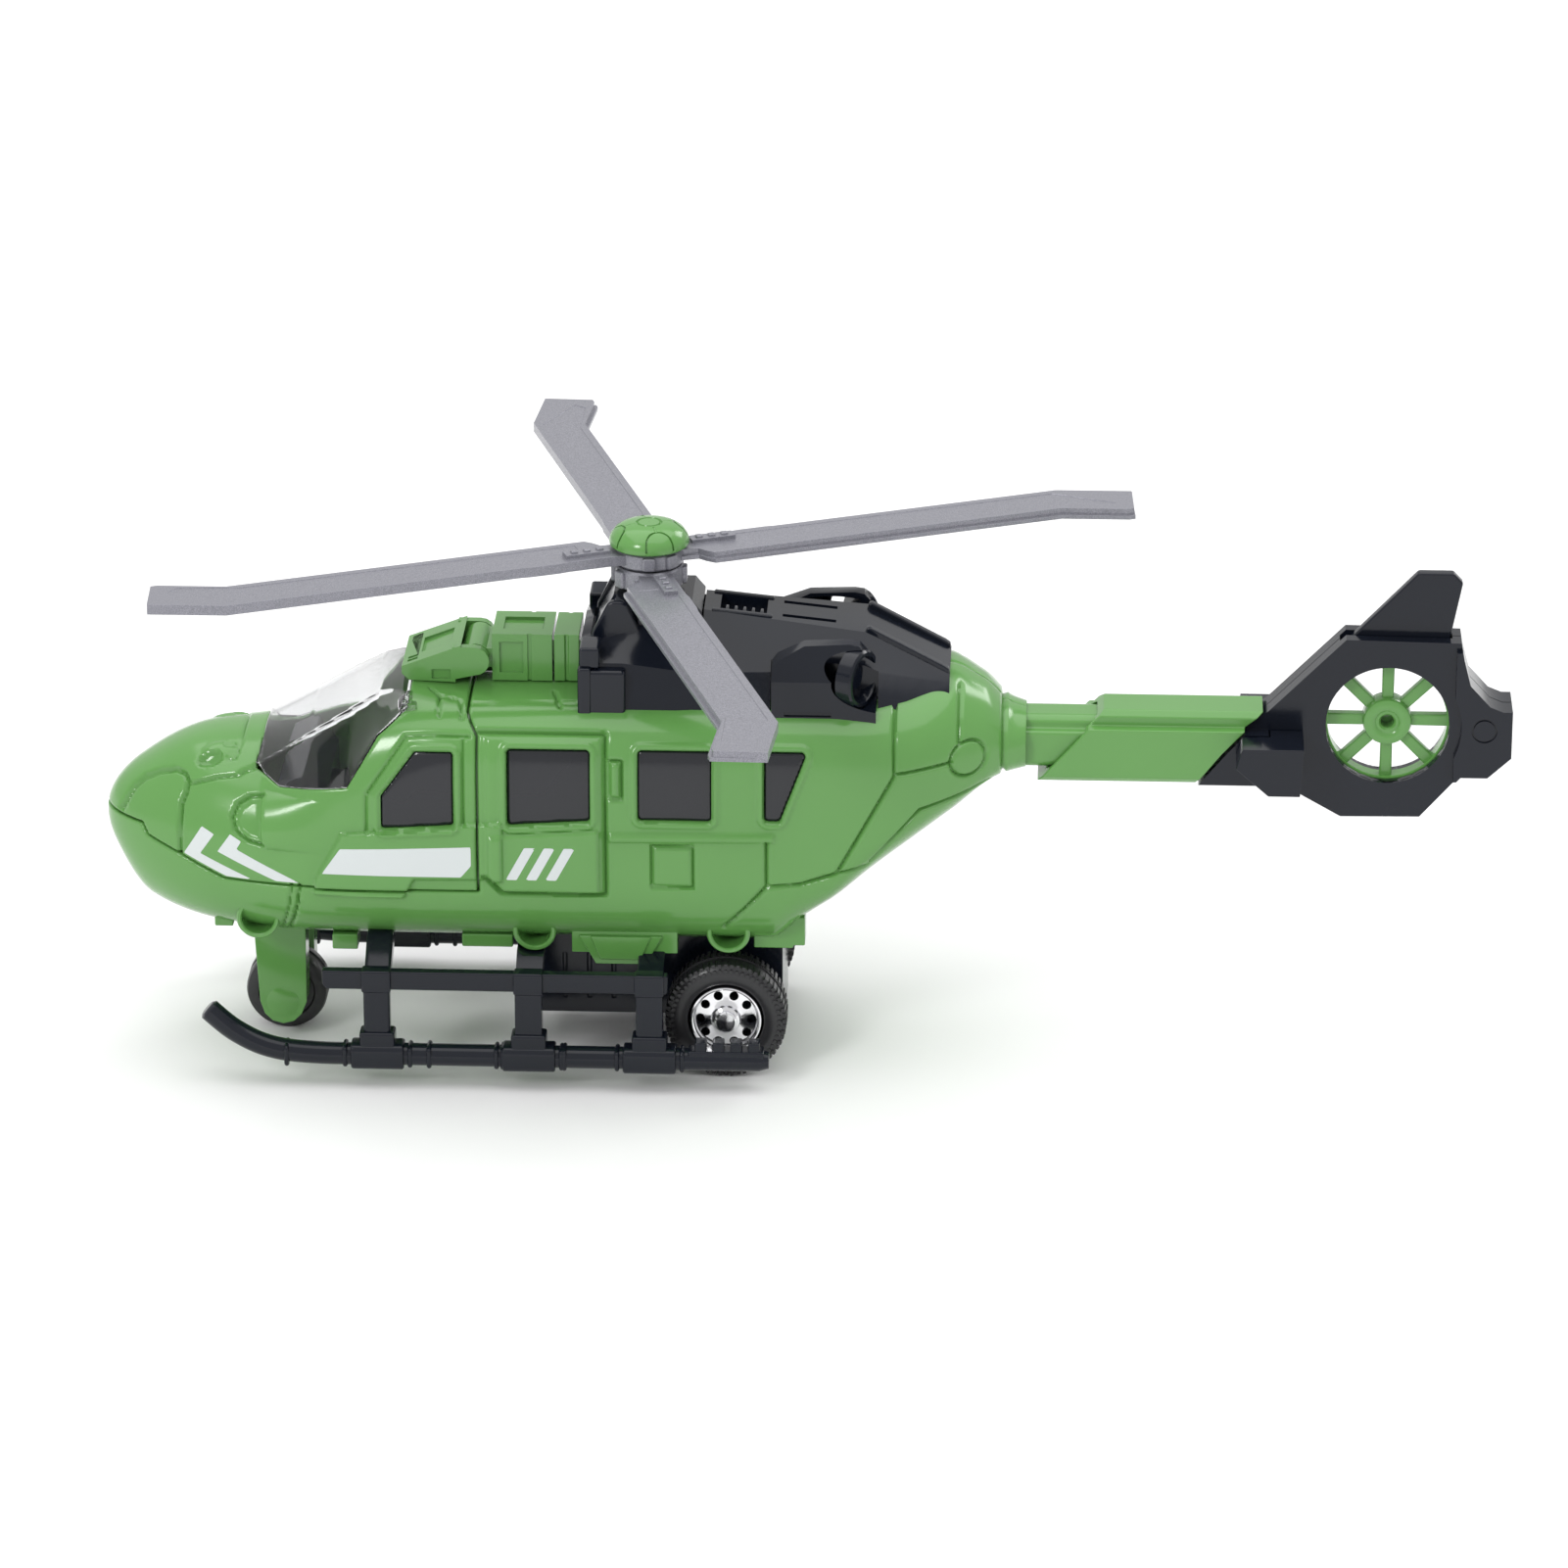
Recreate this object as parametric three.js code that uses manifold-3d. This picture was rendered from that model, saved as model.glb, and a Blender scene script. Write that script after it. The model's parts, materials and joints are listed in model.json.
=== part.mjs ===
// Toy helicopter: a plastic push-along helicopter with a four-blade rotor whose lower pair folds
// under the upper pair, a tail fan that turns inside its duct, a cockpit that lifts on a roof
// hinge, landing skids, and a friction drive on the rear axle.
// Millimetres. +X runs from the nose to the tail, +Y is the helicopter's right-hand side, +Z is
// up. The origin is on the ground, midway between the nose tip and the end of the tail.

import * as THREE from 'three';
import { mergeVertices } from 'three/addons/utils/BufferGeometryUtils.js';
import Module from 'manifold-3d';

const wasm = await Module();
wasm.setup();

// ---------------------------------------------------------------- driving dimensions

const GAP = 0.3;                 // room left between two pieces that touch
const WALL = 1.6;                // wall of the moulded shells
const NOSE_X = -143.3;
const TAIL_X = 143.1;
const COLLAR_X = 45;             // end of the fuselage, where the tail boom comes out
const ROOF_Z = 79;
const BELLY_Z = 25.5;
const SEAM_Z = 41.2;             // line between the cockpit module and the lower hull
const DOOR_X = -65.3;            // rear face of the cockpit module

const WHEEL = { x: -15.1, radius: 12.5, inner: 15.6, outer: 24.2, rim: 7.4, axle: 1.5 };
const NOSE_WHEEL = { x: -107, radius: 8.4, half: 4, axle: 1.2 };
const NOSE_LEG = { inner: 4.6, outer: 11, boss: 4.2 };
const SKID = { y: 31, z: 7, radius: 2.3, front: -120, rear: -6 };
const STRUTS = [-85.5, -54.7, -30.2];
const RAIL_Z = 22.6;

const MAST_X = -31.5;
const SHAFT = 2;
const UPPER_Z = 105.1;           // middle of the upper blades
const LOWER_Z = 101.3;           // middle of the lower blades
const BLADE = { thick: 2.1, front: -8.2, back: 3, kink: 88, sweep: 5.2 };
const BLADE_TIP = 104;
const UPPER_YAW = 22.5;          // degrees from +X
const LOWER_YAW = 107.5;
const HUB = 7;
const CAP = { radius: 8.1, low: 106.9, high: 111.6 };

const HINGE = { x: -66.5, z: 84, radius: 3, pin: 1.2 };
const FAN = { x: 118, z: 71.6, duct: 12.5, rim: 13.8, groove: 14.2, hub: 5, half: 1.9 };
const SHROUD_HALF = 4.3;
const TAIL_BLOCK = { half: 5.8, front: 131.5 };     // the thicker block behind the duct
const SCREWS = [[-110.4, 32.2], [-54, 31.1], [-14.6, 31.2]];

const GEAR_MODULE = 0.7;
const GEARBOX = { front: -58, rear: -4, half: 12.5, low: 8.8, sump: 4.4, sumpFront: -24 };
const IDLER = { x: -23.1, z: 15.7 };
const FLYWHEEL = { x: -31.5, z: 17.3, radius: 6.2 };

const GREEN = { color: 0x4f9a3b, roughness: 0.3, metalness: 0 };
const BLACK = { color: 0x1b1d24, roughness: 0.3, metalness: 0 };
const SILVER = { color: 0x90929c, roughness: 0.4, metalness: 0.6 };
const CHROME = { color: 0xd8d8dc, roughness: 0.12, metalness: 1 };
const RUBBER = { color: 0x1c1c1f, roughness: 0.8, metalness: 0 };
const TINTED = { color: 0x3a3b42, roughness: 0.2, metalness: 0 };
const CLEAR = { color: 0xd9dee2, roughness: 0.05, metalness: 0 };
const STEEL = { color: 0x9a9ca0, roughness: 0.35, metalness: 1 };
const NYLON = { color: 0xe4e0d4, roughness: 0.5, metalness: 0 };

// ---------------------------------------------------------------- shapes

// A closed geometry as a solid that can be joined and cut.
function solid(geometry) {
  const bare = geometry.clone();
  bare.deleteAttribute('normal');
  bare.deleteAttribute('uv');
  const merged = mergeVertices(bare, 1e-4);
  return new wasm.Manifold(new wasm.Mesh({
    numProp: 3,
    vertProperties: Float32Array.from(merged.attributes.position.array),
    triVerts: Uint32Array.from(merged.index.array),
  }));
}

function outline(points) {
  return new THREE.Shape(points.map(([u, v]) => new THREE.Vector2(u, v)));
}

// An outline in X and Z, carried along Y from low to high.
function sidePlate(points, low, high) {
  const geometry = new THREE.ExtrudeGeometry(outline(points), { depth: high - low, bevelEnabled: false });
  return solid(geometry.rotateX(Math.PI / 2).translate(0, high, 0));
}

// An outline in X and Y, carried up from low to high.
function floorPlate(points, low, high) {
  const geometry = new THREE.ExtrudeGeometry(outline(points), { depth: high - low, bevelEnabled: false });
  return solid(geometry.translate(0, 0, low));
}

// An outline in Y and Z, carried along X from low to high.
function crossPlate(points, low, high) {
  const geometry = new THREE.ExtrudeGeometry(outline(points), { depth: high - low, bevelEnabled: false });
  return solid(geometry.rotateX(Math.PI / 2).rotateZ(Math.PI / 2).translate(low, 0, 0));
}

function block([x0, x1], [y0, y1], [z0, z1]) {
  const geometry = new THREE.BoxGeometry(x1 - x0, y1 - y0, z1 - z0);
  return solid(geometry.translate((x0 + x1) / 2, (y0 + y1) / 2, (z0 + z1) / 2));
}

// Round bars along Y and Z.
function barY(radius, x, z, y0, y1, sides = 16) {
  const geometry = new THREE.CylinderGeometry(radius, radius, y1 - y0, sides);
  return solid(geometry.translate(x, (y0 + y1) / 2, z));
}

function barZ(radius, x, y, z0, z1, sides = 16) {
  const geometry = new THREE.CylinderGeometry(radius, radius, z1 - z0, sides);
  return solid(geometry.rotateX(Math.PI / 2).translate(x, y, (z0 + z1) / 2));
}

// A profile of radius and height, turned about a line along Y through (x, z).
function turnedY(profile, x, z, sides = 24) {
  const points = profile.map(([radius, along]) => new THREE.Vector2(radius, along));
  return solid(new THREE.LatheGeometry(points, sides).translate(x, 0, z));
}

function turnedZ(profile, x, y, sides = 24) {
  const points = profile.map(([radius, along]) => new THREE.Vector2(radius, along));
  return solid(new THREE.LatheGeometry(points, sides).rotateX(Math.PI / 2).translate(x, y, 0));
}

// A skin over rings of points that all hold the same number of points, closed at both ends.
function loft(rings) {
  const count = rings[0].length;
  const positions = rings.flat(2);
  const faces = [];
  for (let ring = 0; ring + 1 < rings.length; ring += 1) {
    for (let i = 0; i < count; i += 1) {
      const a = ring * count + i;
      const b = ring * count + (i + 1) % count;
      faces.push(a, b, b + count, a, b + count, a + count);
    }
  }
  const last = (rings.length - 1) * count;
  for (let i = 1; i + 1 < count; i += 1) {
    faces.push(0, i + 1, i, last, last + i, last + i + 1);
  }
  const geometry = new THREE.BufferGeometry();
  geometry.setAttribute('position', new THREE.Float32BufferAttribute(positions, 3));
  geometry.setIndex(faces);
  return solid(geometry);
}

function mirrored(part) {
  return part.mirror([0, 1, 0]);
}

function joined(...parts) {
  return parts.reduce((whole, part) => whole.add(part));
}

function cut(part, ...tools) {
  return tools.reduce((left, tool) => left.subtract(tool), part);
}

// ---------------------------------------------------------------- fuselage form

// A smooth curve through hand-set points. It runs in the square root of the distance from the
// nose, so that it starts out blunt, and it never overshoots its points.
function curve(points) {
  const along = (x) => Math.sqrt(Math.max(0, x - NOSE_X));
  const s = points.map(([x]) => along(x));
  const v = points.map(([, value]) => value);
  const slope = s.slice(1).map((next, i) => (v[i + 1] - v[i]) / (next - s[i]));
  const tangent = s.map((_, i) => {
    const before = slope[Math.max(0, i - 1)];
    const after = slope[Math.min(slope.length - 1, i)];
    return before * after <= 0 ? 0 : 2 * before * after / (before + after);
  });
  return (x) => {
    const at = Math.min(Math.max(along(x), s[0]), s[s.length - 1]);
    const i = Math.min(slope.length - 1, s.findLastIndex((start) => start <= at));
    const span = s[i + 1] - s[i];
    const t = (at - s[i]) / span;
    return v[i] * (1 + 2 * t) * (1 - t) ** 2 + v[i + 1] * t * t * (3 - 2 * t)
      + span * t * (1 - t) * (tangent[i] * (1 - t) - tangent[i + 1] * t);
  };
}

const FORM = {
  half: curve([[NOSE_X, 0], [-137, 11.1], [-126, 18.4], [-118, 21.8], [-108, 24.6], [-98, 26.2],
    [-80, 27], [5, 27], [20, 24.5], [30, 20], [37, 15], [41, 11.5], [COLLAR_X, 9]]),
  bottom: curve([[NOSE_X, 48], [-140.6, 39.8], [-133.6, 30.4], [-118, 26.3], [-105, BELLY_Z],
    [-6, BELLY_Z], [0, 31], [14.7, 43], [29.9, 54], [39.4, 60.3], [COLLAR_X, 61]]),
  top: curve([[NOSE_X, 48.3], [-136, 58.8], [-121.5, 65.6], [-109.5, 66.8], [-108, 67.4],
    [-85.5, ROOF_Z + 0.5], [-83, ROOF_Z + 0.8], [-66, ROOF_Z], [10, ROOF_Z], [20, 80.5],
    [29, 82.5], [36.5, 79], [42, 74], [COLLAR_X, 73]]),
  waist: curve([[NOSE_X, 48.1], [-137, 46], [-118, 44], [5, 46], [15, 54], [25, 60], [38, 65],
    [COLLAR_X, 66.8]]),
  upper: curve([[NOSE_X, 2.1], [-108, 2.3], [-95, 3], [-84, 3.6], [-66, 6], [5, 6], [22, 3.2],
    [35, 2.3], [COLLAR_X, 2.3]]),
  lower: curve([[NOSE_X, 2.1], [-118, 2.6], [0, 2.6], [COLLAR_X, 2.3]]),
};
const RING_POINTS = 20;

// One cross-section: rounded boxes above and below the waist, as squared as FORM says.
function section(x, inset) {
  const half = Math.max(0.4, FORM.half(x) - inset);
  const waist = FORM.waist(x);
  const rise = Math.max(0.4, FORM.top(x) - inset - waist);
  const drop = Math.max(0.4, waist - FORM.bottom(x) - inset);
  const ring = [];
  for (let i = 0; i < RING_POINTS; i += 1) {
    const angle = 2 * Math.PI * i / RING_POINTS;
    const c = Math.cos(angle);
    const s = Math.sin(angle);
    const power = s > 0 ? FORM.upper(x) : FORM.lower(x);
    const reach = (Math.abs(c) ** power + Math.abs(s) ** power) ** (-1 / power);
    ring.push([x, half * reach * c, waist + (s > 0 ? rise : drop) * reach * s]);
  }
  return ring;
}

const STATIONS = [-142, -139, -133, -125, -117, -109, -97, -85.5, -83, -66, -6, 4, 14, 23, 30, 36,
  COLLAR_X];

// The outer form of the fuselage, shrunk by inset on every side.
function fuselage(inset, end = COLLAR_X) {
  const first = NOSE_X + Math.max(0, inset) + 0.2;
  const middle = STATIONS.filter((x) => x > first + 0.3 && x < end - 0.5);
  return loft([first, ...middle, end].map((x) => section(x, inset)));
}

const hull = fuselage(0);
const hullInside = fuselage(WALL, COLLAR_X - 3);
const hullEnvelope = fuselage(-GAP);

// ---------------------------------------------------------------- outlines on the side of the hull

// The cockpit module ends at a stepped seam round the nose, at SEAM_Z and at DOOR_X.
function cockpitOutline(gap) {
  return [[NOSE_X - 5, 120], [NOSE_X - 5, 48.3 + gap], [-141, 48.3 + gap], [-134, 46.8 + gap],
    [-126, 45 + gap], [-118, SEAM_Z + gap], [DOOR_X - gap, SEAM_Z + gap], [DOOR_X - gap, 120]];
}

const GLASS = [[-110, 100], [-110, 66.4], [-110.9, 63], [-105.5, 60.8], [-91.3, 62.7], [-85.1, 73],
  [-79.2, 78], [-80.4, 100]];
const DOOR_WINDOW = [[-84.4, 54.4], [-69.7, 55.8], [-69.7, 71], [-77.3, 70.8], [-84.4, 61]];
const CABIN_WINDOWS = [
  [[-58.9, 55.8], [-42, 57], [-42, 71.8], [-58.9, 71.8]],
  [[-32.5, 57.2], [-17.7, 57.2], [-17.7, 71.9], [-32.5, 71.9]],
  [[-7.1, 57.4], [-4.2, 57.4], [1.7, 72.1], [-7.1, 72.1]],
];

// An outline drawn in towards its middle by about the given distance.
function shrunk(points, distance) {
  const average = (values) => values.reduce((sum, value) => sum + value) / values.length;
  const midX = average(points.map(([x]) => x));
  const midZ = average(points.map(([, z]) => z));
  const size = Math.min(...points.map(([x, z]) => Math.hypot(x - midX, z - midZ)));
  const keep = 1 - 1.5 * distance / size;
  return points.map(([x, z]) => [midX + (x - midX) * keep, midZ + (z - midZ) * keep]);
}

const LEFT = [-60, -12];           // reach along Y of anything cut into the left side only

// ---------------------------------------------------------------- fuselage pieces

function screwBoss([x, z], grow = 0) {
  return barY(4.4 + grow, x, z, -24.2 - grow, -GAP / 2, 20);
}

// A shallow green bracket under each side of the belly.
function bellyBracket(grow = 0) {
  return sidePlate([[-46 - grow, 31], [-43.5 - grow, 24.4 - grow], [-28.5 + grow, 24.4 - grow],
    [-25.3 + grow, 31]], -20 - grow, -15 + grow);
}

// A pad under each side of the belly, behind the rear wheels.
function bellyPad(grow = 0) {
  return block([-9.6 - grow, 0.8 + grow], [-19 - grow, -13 + grow], [26.6 - grow, 34]);
}

// Everything that hangs below the belly keeps clear of this.
function bellyEnvelope() {
  return joined(hullEnvelope, ...SCREWS.map((place) => screwBoss(place, GAP)), bellyBracket(GAP),
    bellyPad(GAP));
}

// One half of the hull, for the left side. The screws go in from the left.
function hullHalf(isLeft) {
  const region = cut(
    block([NOSE_X - 1, COLLAR_X + 1], [-40, -GAP / 2], [0, 120]),
    sidePlate(cockpitOutline(0), -50, 50),
  );
  const bosses = joined(...SCREWS.map((place) => screwBoss(place)));
  const belowBelly = block([-125, 0], [-30, -GAP / 2], [0, SEAM_Z - 2]);
  let half = cut(hull, hullInside).intersect(region);
  half = joined(half, bosses.intersect(belowBelly), cut(joined(bellyBracket(), bellyPad()), hullInside));
  for (const points of CABIN_WINDOWS) {
    half = cut(half, sidePlate(points, ...LEFT));
  }
  for (const [x, z] of SCREWS) {
    half = cut(half, isLeft ? barY(3.15, x, z, -30, -9, 20) : barY(1.3, x, z, -12, 1, 12));
    half = isLeft ? cut(half, barY(1.3, x, z, -10, 1, 12)) : half;
  }
  return cut(half, boomEnvelope());
}

function bodyScrew([x, z]) {
  return joined(barY(2.8, x, z, -11, -9 - GAP, 16), barY(1, x, z, -10, 10, 10));
}

function cabinWindows() {
  const strip = [[-61, 54], [3, 54], [3, 74.4], [-61, 74.4]];
  const inner = cut(fuselage(WALL + GAP), fuselage(WALL + GAP + 1.2));
  const backing = inner.intersect(sidePlate(strip, ...LEFT));
  const layer = cut(fuselage(0.7), fuselage(WALL + GAP + 0.6));
  const panes = CABIN_WINDOWS.map((points) => (
    layer.intersect(sidePlate(shrunk(points, GAP), ...LEFT))));
  return joined(backing, ...panes);
}

function cockpitShell() {
  const region = cut(
    sidePlate(cockpitOutline(GAP), -50, 50),
    sidePlate(GLASS, -50, 50),
    sidePlate(DOOR_WINDOW, -50, 50),
  );
  const headlight = joined(...[-1, 1].map((side) => (
    solid(new THREE.SphereGeometry(1, 10, 8).scale(9, 3, 6).translate(-105, side * 23.6, 55))
  )));
  const rearRing = block([DOOR_X - 3, DOOR_X - GAP], [-50, 50], [SEAM_Z + GAP, 120]);
  const rear = cut(fuselage(0.5), fuselage(3)).intersect(rearRing);
  return joined(cut(joined(hull, headlight), hullInside).intersect(region), rear);
}

function windshield() {
  return cut(fuselage(0.1), fuselage(1.3)).intersect(sidePlate(shrunk(GLASS, GAP), -50, 50));
}

function doorWindow() {
  return cut(fuselage(0.5), fuselage(1.5)).intersect(sidePlate(shrunk(DOOR_WINDOW, GAP), ...LEFT));
}

function cockpitInterior() {
  const floor = block([-106, -68.8], [-30, 30], [46, 47.5]);
  const dashboard = sidePlate([[-106, 47], [-97, 47], [-97, 56], [-101, 61.5], [-106, 60]], -17, 17);
  const seats = [-10, 10].map((y) => sidePlate(
    [[-88, 47], [-74, 47], [-71, 66], [-74, 67], [-77.5, 53], [-88, 52]], y - 6.5, y + 6.5));
  return joined(floor, dashboard, ...seats).intersect(fuselage(WALL + GAP + 1.4));
}

// The cockpit's roof fairing, which carries the two outer hinge lugs.
function roofIntake() {
  const fairing = sidePlate([[-81.3, 81.2], [-79, 79], [-70.4, 79], [-70.4, 84], [-69.2, 87.4],
    [-81.3, 82.8]], -8.6, 8.6);
  const scoop = sidePlate([[-78, 85], [-71.5, 88], [-71.5, 86], [-77.4, 83.6]], -4, 4);
  const lugs = [-1, 1].map((side) => {
    const [low, high] = side < 0 ? [-8.6, -6.6] : [6.6, 8.6];
    const web = sidePlate([[-71, 80], [-66.5, 81], [-66.5, 87], [-71, 87]], low, high);
    return joined(barY(HINGE.radius, HINGE.x, HINGE.z, low, high), web);
  });
  const pinHole = barY(HINGE.pin + GAP, HINGE.x, HINGE.z, -7.9, 7.9, 16);
  return cut(joined(cut(fairing, scoop), ...lugs), hullEnvelope, pinHole);
}

function roofLinkFront() {
  const body = block([-63.1, -50.9], [-6.6, 6.6], [ROOF_Z, 89.3]);
  const knuckle = barY(HINGE.radius, HINGE.x, HINGE.z, -6.2, 6.2);
  const arm = block([-66.5, -63], [-6.2, 6.2], [82, 86]);
  return cut(joined(body, knuckle, arm), hullEnvelope, barY(HINGE.pin + 0.15, HINGE.x, HINGE.z, -20, 20, 16));
}

function roofLinkRear() {
  return cut(block([-50.5, -45.4], [-6.6, 6.6], [ROOF_Z, 89.3]), hullEnvelope);
}

// ---------------------------------------------------------------- engine cowl and pods

// The cowl's cross-section at one station: base, shoulder and deck on each side.
function cowlRing([x, base, baseZ, shoulder, shoulderZ, deck, deckZ], inset) {
  const half = [[base - inset, baseZ - 2 * inset], [shoulder - inset, shoulderZ - inset],
    [deck - inset, deckZ - inset]];
  const right = half.map(([y, z]) => [x, y, z]);
  const left = half.toReversed().map(([y, z]) => [x, -y, z]);
  return [...right, ...left];
}

const COWL = [
  [-45, 19.5, 76, 17.2, 87.5, 7, 89.5],
  [-36, 19.5, 76, 17.2, 87.5, 7, 92],
  [-22.5, 19.5, 76, 16.5, 85.5, 5.4, 95.2],
  [12.5, 19, 76, 14.5, 85.5, 8, 91.5],
  [29.5, 12.5, 79.5, 10.5, 81.8, 7, 82.9],
];
const POD = { front: -6, rear: 15, inner: 13.2, outer: 20.8, top: 92 };
const EXHAUST = { x: 10.6, y: -16.7, z: 84.8, radius: 5.4, bore: 4.2 };

function podSpace() {
  return block([POD.front - GAP, POD.rear + GAP], [-30, -POD.inner + GAP], [70, 100]);
}

function engineCowl() {
  const outer = loft(COWL.map((station) => cowlRing(station, 0)));
  const inner = loft(COWL.slice(0, 4).map(([x, ...rest], i) => (
    cowlRing([[-43.4, -36, -22.5, 10.9][i], ...rest], WALL))));
  const mastSeat = block([-43, -20.2], [-7.6, 7.6], [89, 110]);
  const pods = podSpace();
  return cut(outer, inner, hullEnvelope, mastSeat, pods, mirrored(pods),
    barZ(SHAFT + GAP, MAST_X, 0, 70, 110, 16));
}

// The left pod. Its rear outer corner holds the exhaust.
function enginePod() {
  const side = sidePlate([[POD.front, 70], [POD.front, 88.3], [0.5, 91.6], [11, POD.top],
    [13, 90], [POD.rear, 86], [POD.rear, 70]], -POD.outer, -POD.inner);
  const chamfer = crossPlate([[-30, 95], [-30, 70], [-20.8, 70], [-20.8, 86], [-14.5, 95]], -20, 20);
  return cut(side, chamfer, hullEnvelope, exhaustBar(EXHAUST.radius + GAP, -40, 40));
}

function exhaustBar(radius, low, high) {
  const geometry = new THREE.CylinderGeometry(radius, radius, high - low, 16);
  geometry.translate(0, -(low + high) / 2, 0).rotateZ(THREE.MathUtils.degToRad(62));
  return solid(geometry.translate(EXHAUST.x, EXHAUST.y, EXHAUST.z));
}

// The exhaust stops short of the cowl beside it and behind it.
function exhaust() {
  const tube = cut(exhaustBar(EXHAUST.radius, -2, 2.6), exhaustBar(EXHAUST.bore, 0.8, 9));
  const beside = block([-50, 50], [-POD.inner - GAP, 0], [60, 110]);
  const behind = block([POD.rear - GAP, 60], [-14.4, 0], [60, 110]);
  return cut(tube, beside, behind);
}

function mastSupport() {
  const tower = sidePlate([[-42.7, 89.3], [-38.5, 97.4], [-22.5, 97.4], [-20.5, 95], [-20.5, 89.3]],
    -7.3, 7.3);
  return cut(tower, barZ(SHAFT + 0.25, MAST_X, 0, 70, 110, 20));
}

// ---------------------------------------------------------------- rotor

// One blade with its root at the mast and its swept tip, pointing along +X.
function bladeOutline() {
  const { front, back, kink, sweep } = BLADE;
  return [[0, -5], [9, -5], [11, front], [kink - 1.5, front], [BLADE_TIP - 4.6, front - sweep],
    [BLADE_TIP - 3.6, front - sweep], [BLADE_TIP, back - sweep - 0.7], [kink + 1.5, back],
    [28, back], [26, 3.2], [20, 3.2], [18, back], [9, back], [0, 5]];
}

function bladePair(middleZ, yaw, hubLow, hubHigh) {
  const low = middleZ - BLADE.thick / 2;
  const blade = joined(
    floorPlate(bladeOutline(), low, low + BLADE.thick),
    block([8, 17], [-1.2, 1.6], [low, low + BLADE.thick + 0.9]),
  );
  const hub = barZ(HUB, 0, 0, hubLow, hubHigh, 24);
  const pair = joined(hub, blade, blade.rotate([0, 0, 180]));
  return cut(pair, barZ(SHAFT + GAP, 0, 0, hubLow - 1, hubHigh + 1, 20))
    .rotate([0, 0, yaw])
    .translate([MAST_X, 0, 0]);
}

function rotorCap() {
  const { radius, low, high } = CAP;
  const dome = turnedZ([[0, low], [radius - 0.4, low], [radius, low + 1], [7.2, low + 3], [5.2, low + 4.3],
    [2.6, high], [0, high]], MAST_X, 0);
  return cut(dome, barZ(SHAFT + GAP, MAST_X, 0, low - 1, low + 2.3, 20),
    barZ(1.1, MAST_X, 0, low, high + 1, 16), barZ(2.3, MAST_X, 0, high - 1.3, high + 1, 16));
}

function rotorScrew() {
  const top = CAP.high - 1.3 + GAP;
  return joined(barZ(2, MAST_X, 0, top, top + 0.8, 16), barZ(0.8, MAST_X, 0, 100, top + 0.3, 12));
}

function rotorShaft() {
  const shaft = joined(barZ(SHAFT, MAST_X, 0, 85, CAP.low + 1.9, 20), barZ(3.4, MAST_X, 0, 83, 85.5, 20));
  return cut(shaft, barZ(1.1, MAST_X, 0, 99.5, 120, 12));
}

// ---------------------------------------------------------------- tail

// A stepped section: a wide lower part and a narrower upper part, for the boom and its sleeve.
function steppedOutline(half, low, ledge, upperHalf, high) {
  return [[-half + 1.2, low], [half - 1.2, low], [half, low + 1.2], [half, ledge], [upperHalf, ledge],
    [upperHalf, high - 1], [upperHalf - 1.4, high], [1.4 - upperHalf, high], [-upperHalf, high - 1],
    [-upperHalf, ledge], [-half, ledge], [-half, low + 1.2]];
}

const BOOM = [6.8, 62, 70, 4.6, 72.4];
const BOOM_SPAN = [40, 72];
const SLEEVE = [8.3, 59.6, 71.2, 5.8, 74.2];

function boomSection([half, low, ledge, upperHalf, high], grow) {
  return steppedOutline(half + grow, low - grow, ledge + grow, upperHalf + grow, high + grow);
}

function tailBoom() {
  return crossPlate(boomSection(BOOM, 0), ...BOOM_SPAN);
}

function boomEnvelope() {
  return crossPlate(boomSection(BOOM, GAP), BOOM_SPAN[0] - GAP, BOOM_SPAN[1] + GAP);
}

function sleeveEnvelope() {
  return crossPlate(boomSection(SLEEVE, GAP), 47, 92);
}

function tailSleeve() {
  const bar = crossPlate(boomSection(SLEEVE, 0), 40, 100);
  const slanted = sidePlate([[46.8, 59], [57.5, 71], [62.5, 76], [95.2, 76], [89.2, 71.2], [84.7, 66.3],
    [79, 59]], -20, 20);
  return cut(bar.intersect(slanted), boomEnvelope());
}

const SHROUD = [[80, 59], [85.1, 65.6], [89.8, 71], [94, 74.4], [109.2, 90], [132.4, 89.6], [133, 86.4],
  [134.4, 81], [138.5, 76.5], [141.2, 75.4], [TAIL_X, 75.4], [TAIL_X, 65.4], [138.4, 61],
  [133, 61], [125, 51.8], [109, 51.6], [100.2, 56.6], [94, 59]];
// The left half of the tail housing. The fan's rim turns in the groove between the halves.
function tailShroud() {
  const root = sidePlate([[80, 59.4], [85.1, 65.6], [89.2, 70.4], [94, 70.4], [92, 59.4]], -7.9, -1);
  const behindDuct = block([TAIL_BLOCK.front, 150], [-9, 0], [60, 88]);
  const plate = joined(
    sidePlate(SHROUD, -SHROUD_HALF, -GAP / 2),
    sidePlate(SHROUD, -TAIL_BLOCK.half, -GAP / 2).intersect(behindDuct),
    root,
  );
  const duct = barY(FAN.duct, FAN.x, FAN.z, -10, 10, 28);
  const groove = barY(FAN.groove, FAN.x, FAN.z, -FAN.half - GAP, 10, 28);
  return cut(plate, duct, groove, finSpace());
}

const FIN = [[108.5, 86.6], [110.5, 89.6], [123.4, 103.4], [130.4, 103.4], [132.4, 101.3],
  [130.2, 89.6], [130.2, 86.6]];
const FIN_HALF = 1.2;

function finSpace() {
  return block([108, 130.6], [-FIN_HALF - GAP, FIN_HALF + GAP], [86.6 - GAP, 110]);
}

function tailFin() {
  return sidePlate(FIN, -FIN_HALF, FIN_HALF);
}

function stabilizer() {
  const body = sidePlate([[88.6, 70.3], [87.4, 66], [94, 60.2], [100.4, 60.2], [101, 70.3]],
    -15.5, -SHROUD_HALF - GAP);
  return cut(body, block([70, 94 + GAP], [-8.2, 0], [50, 80]), sleeveEnvelope());
}

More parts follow.
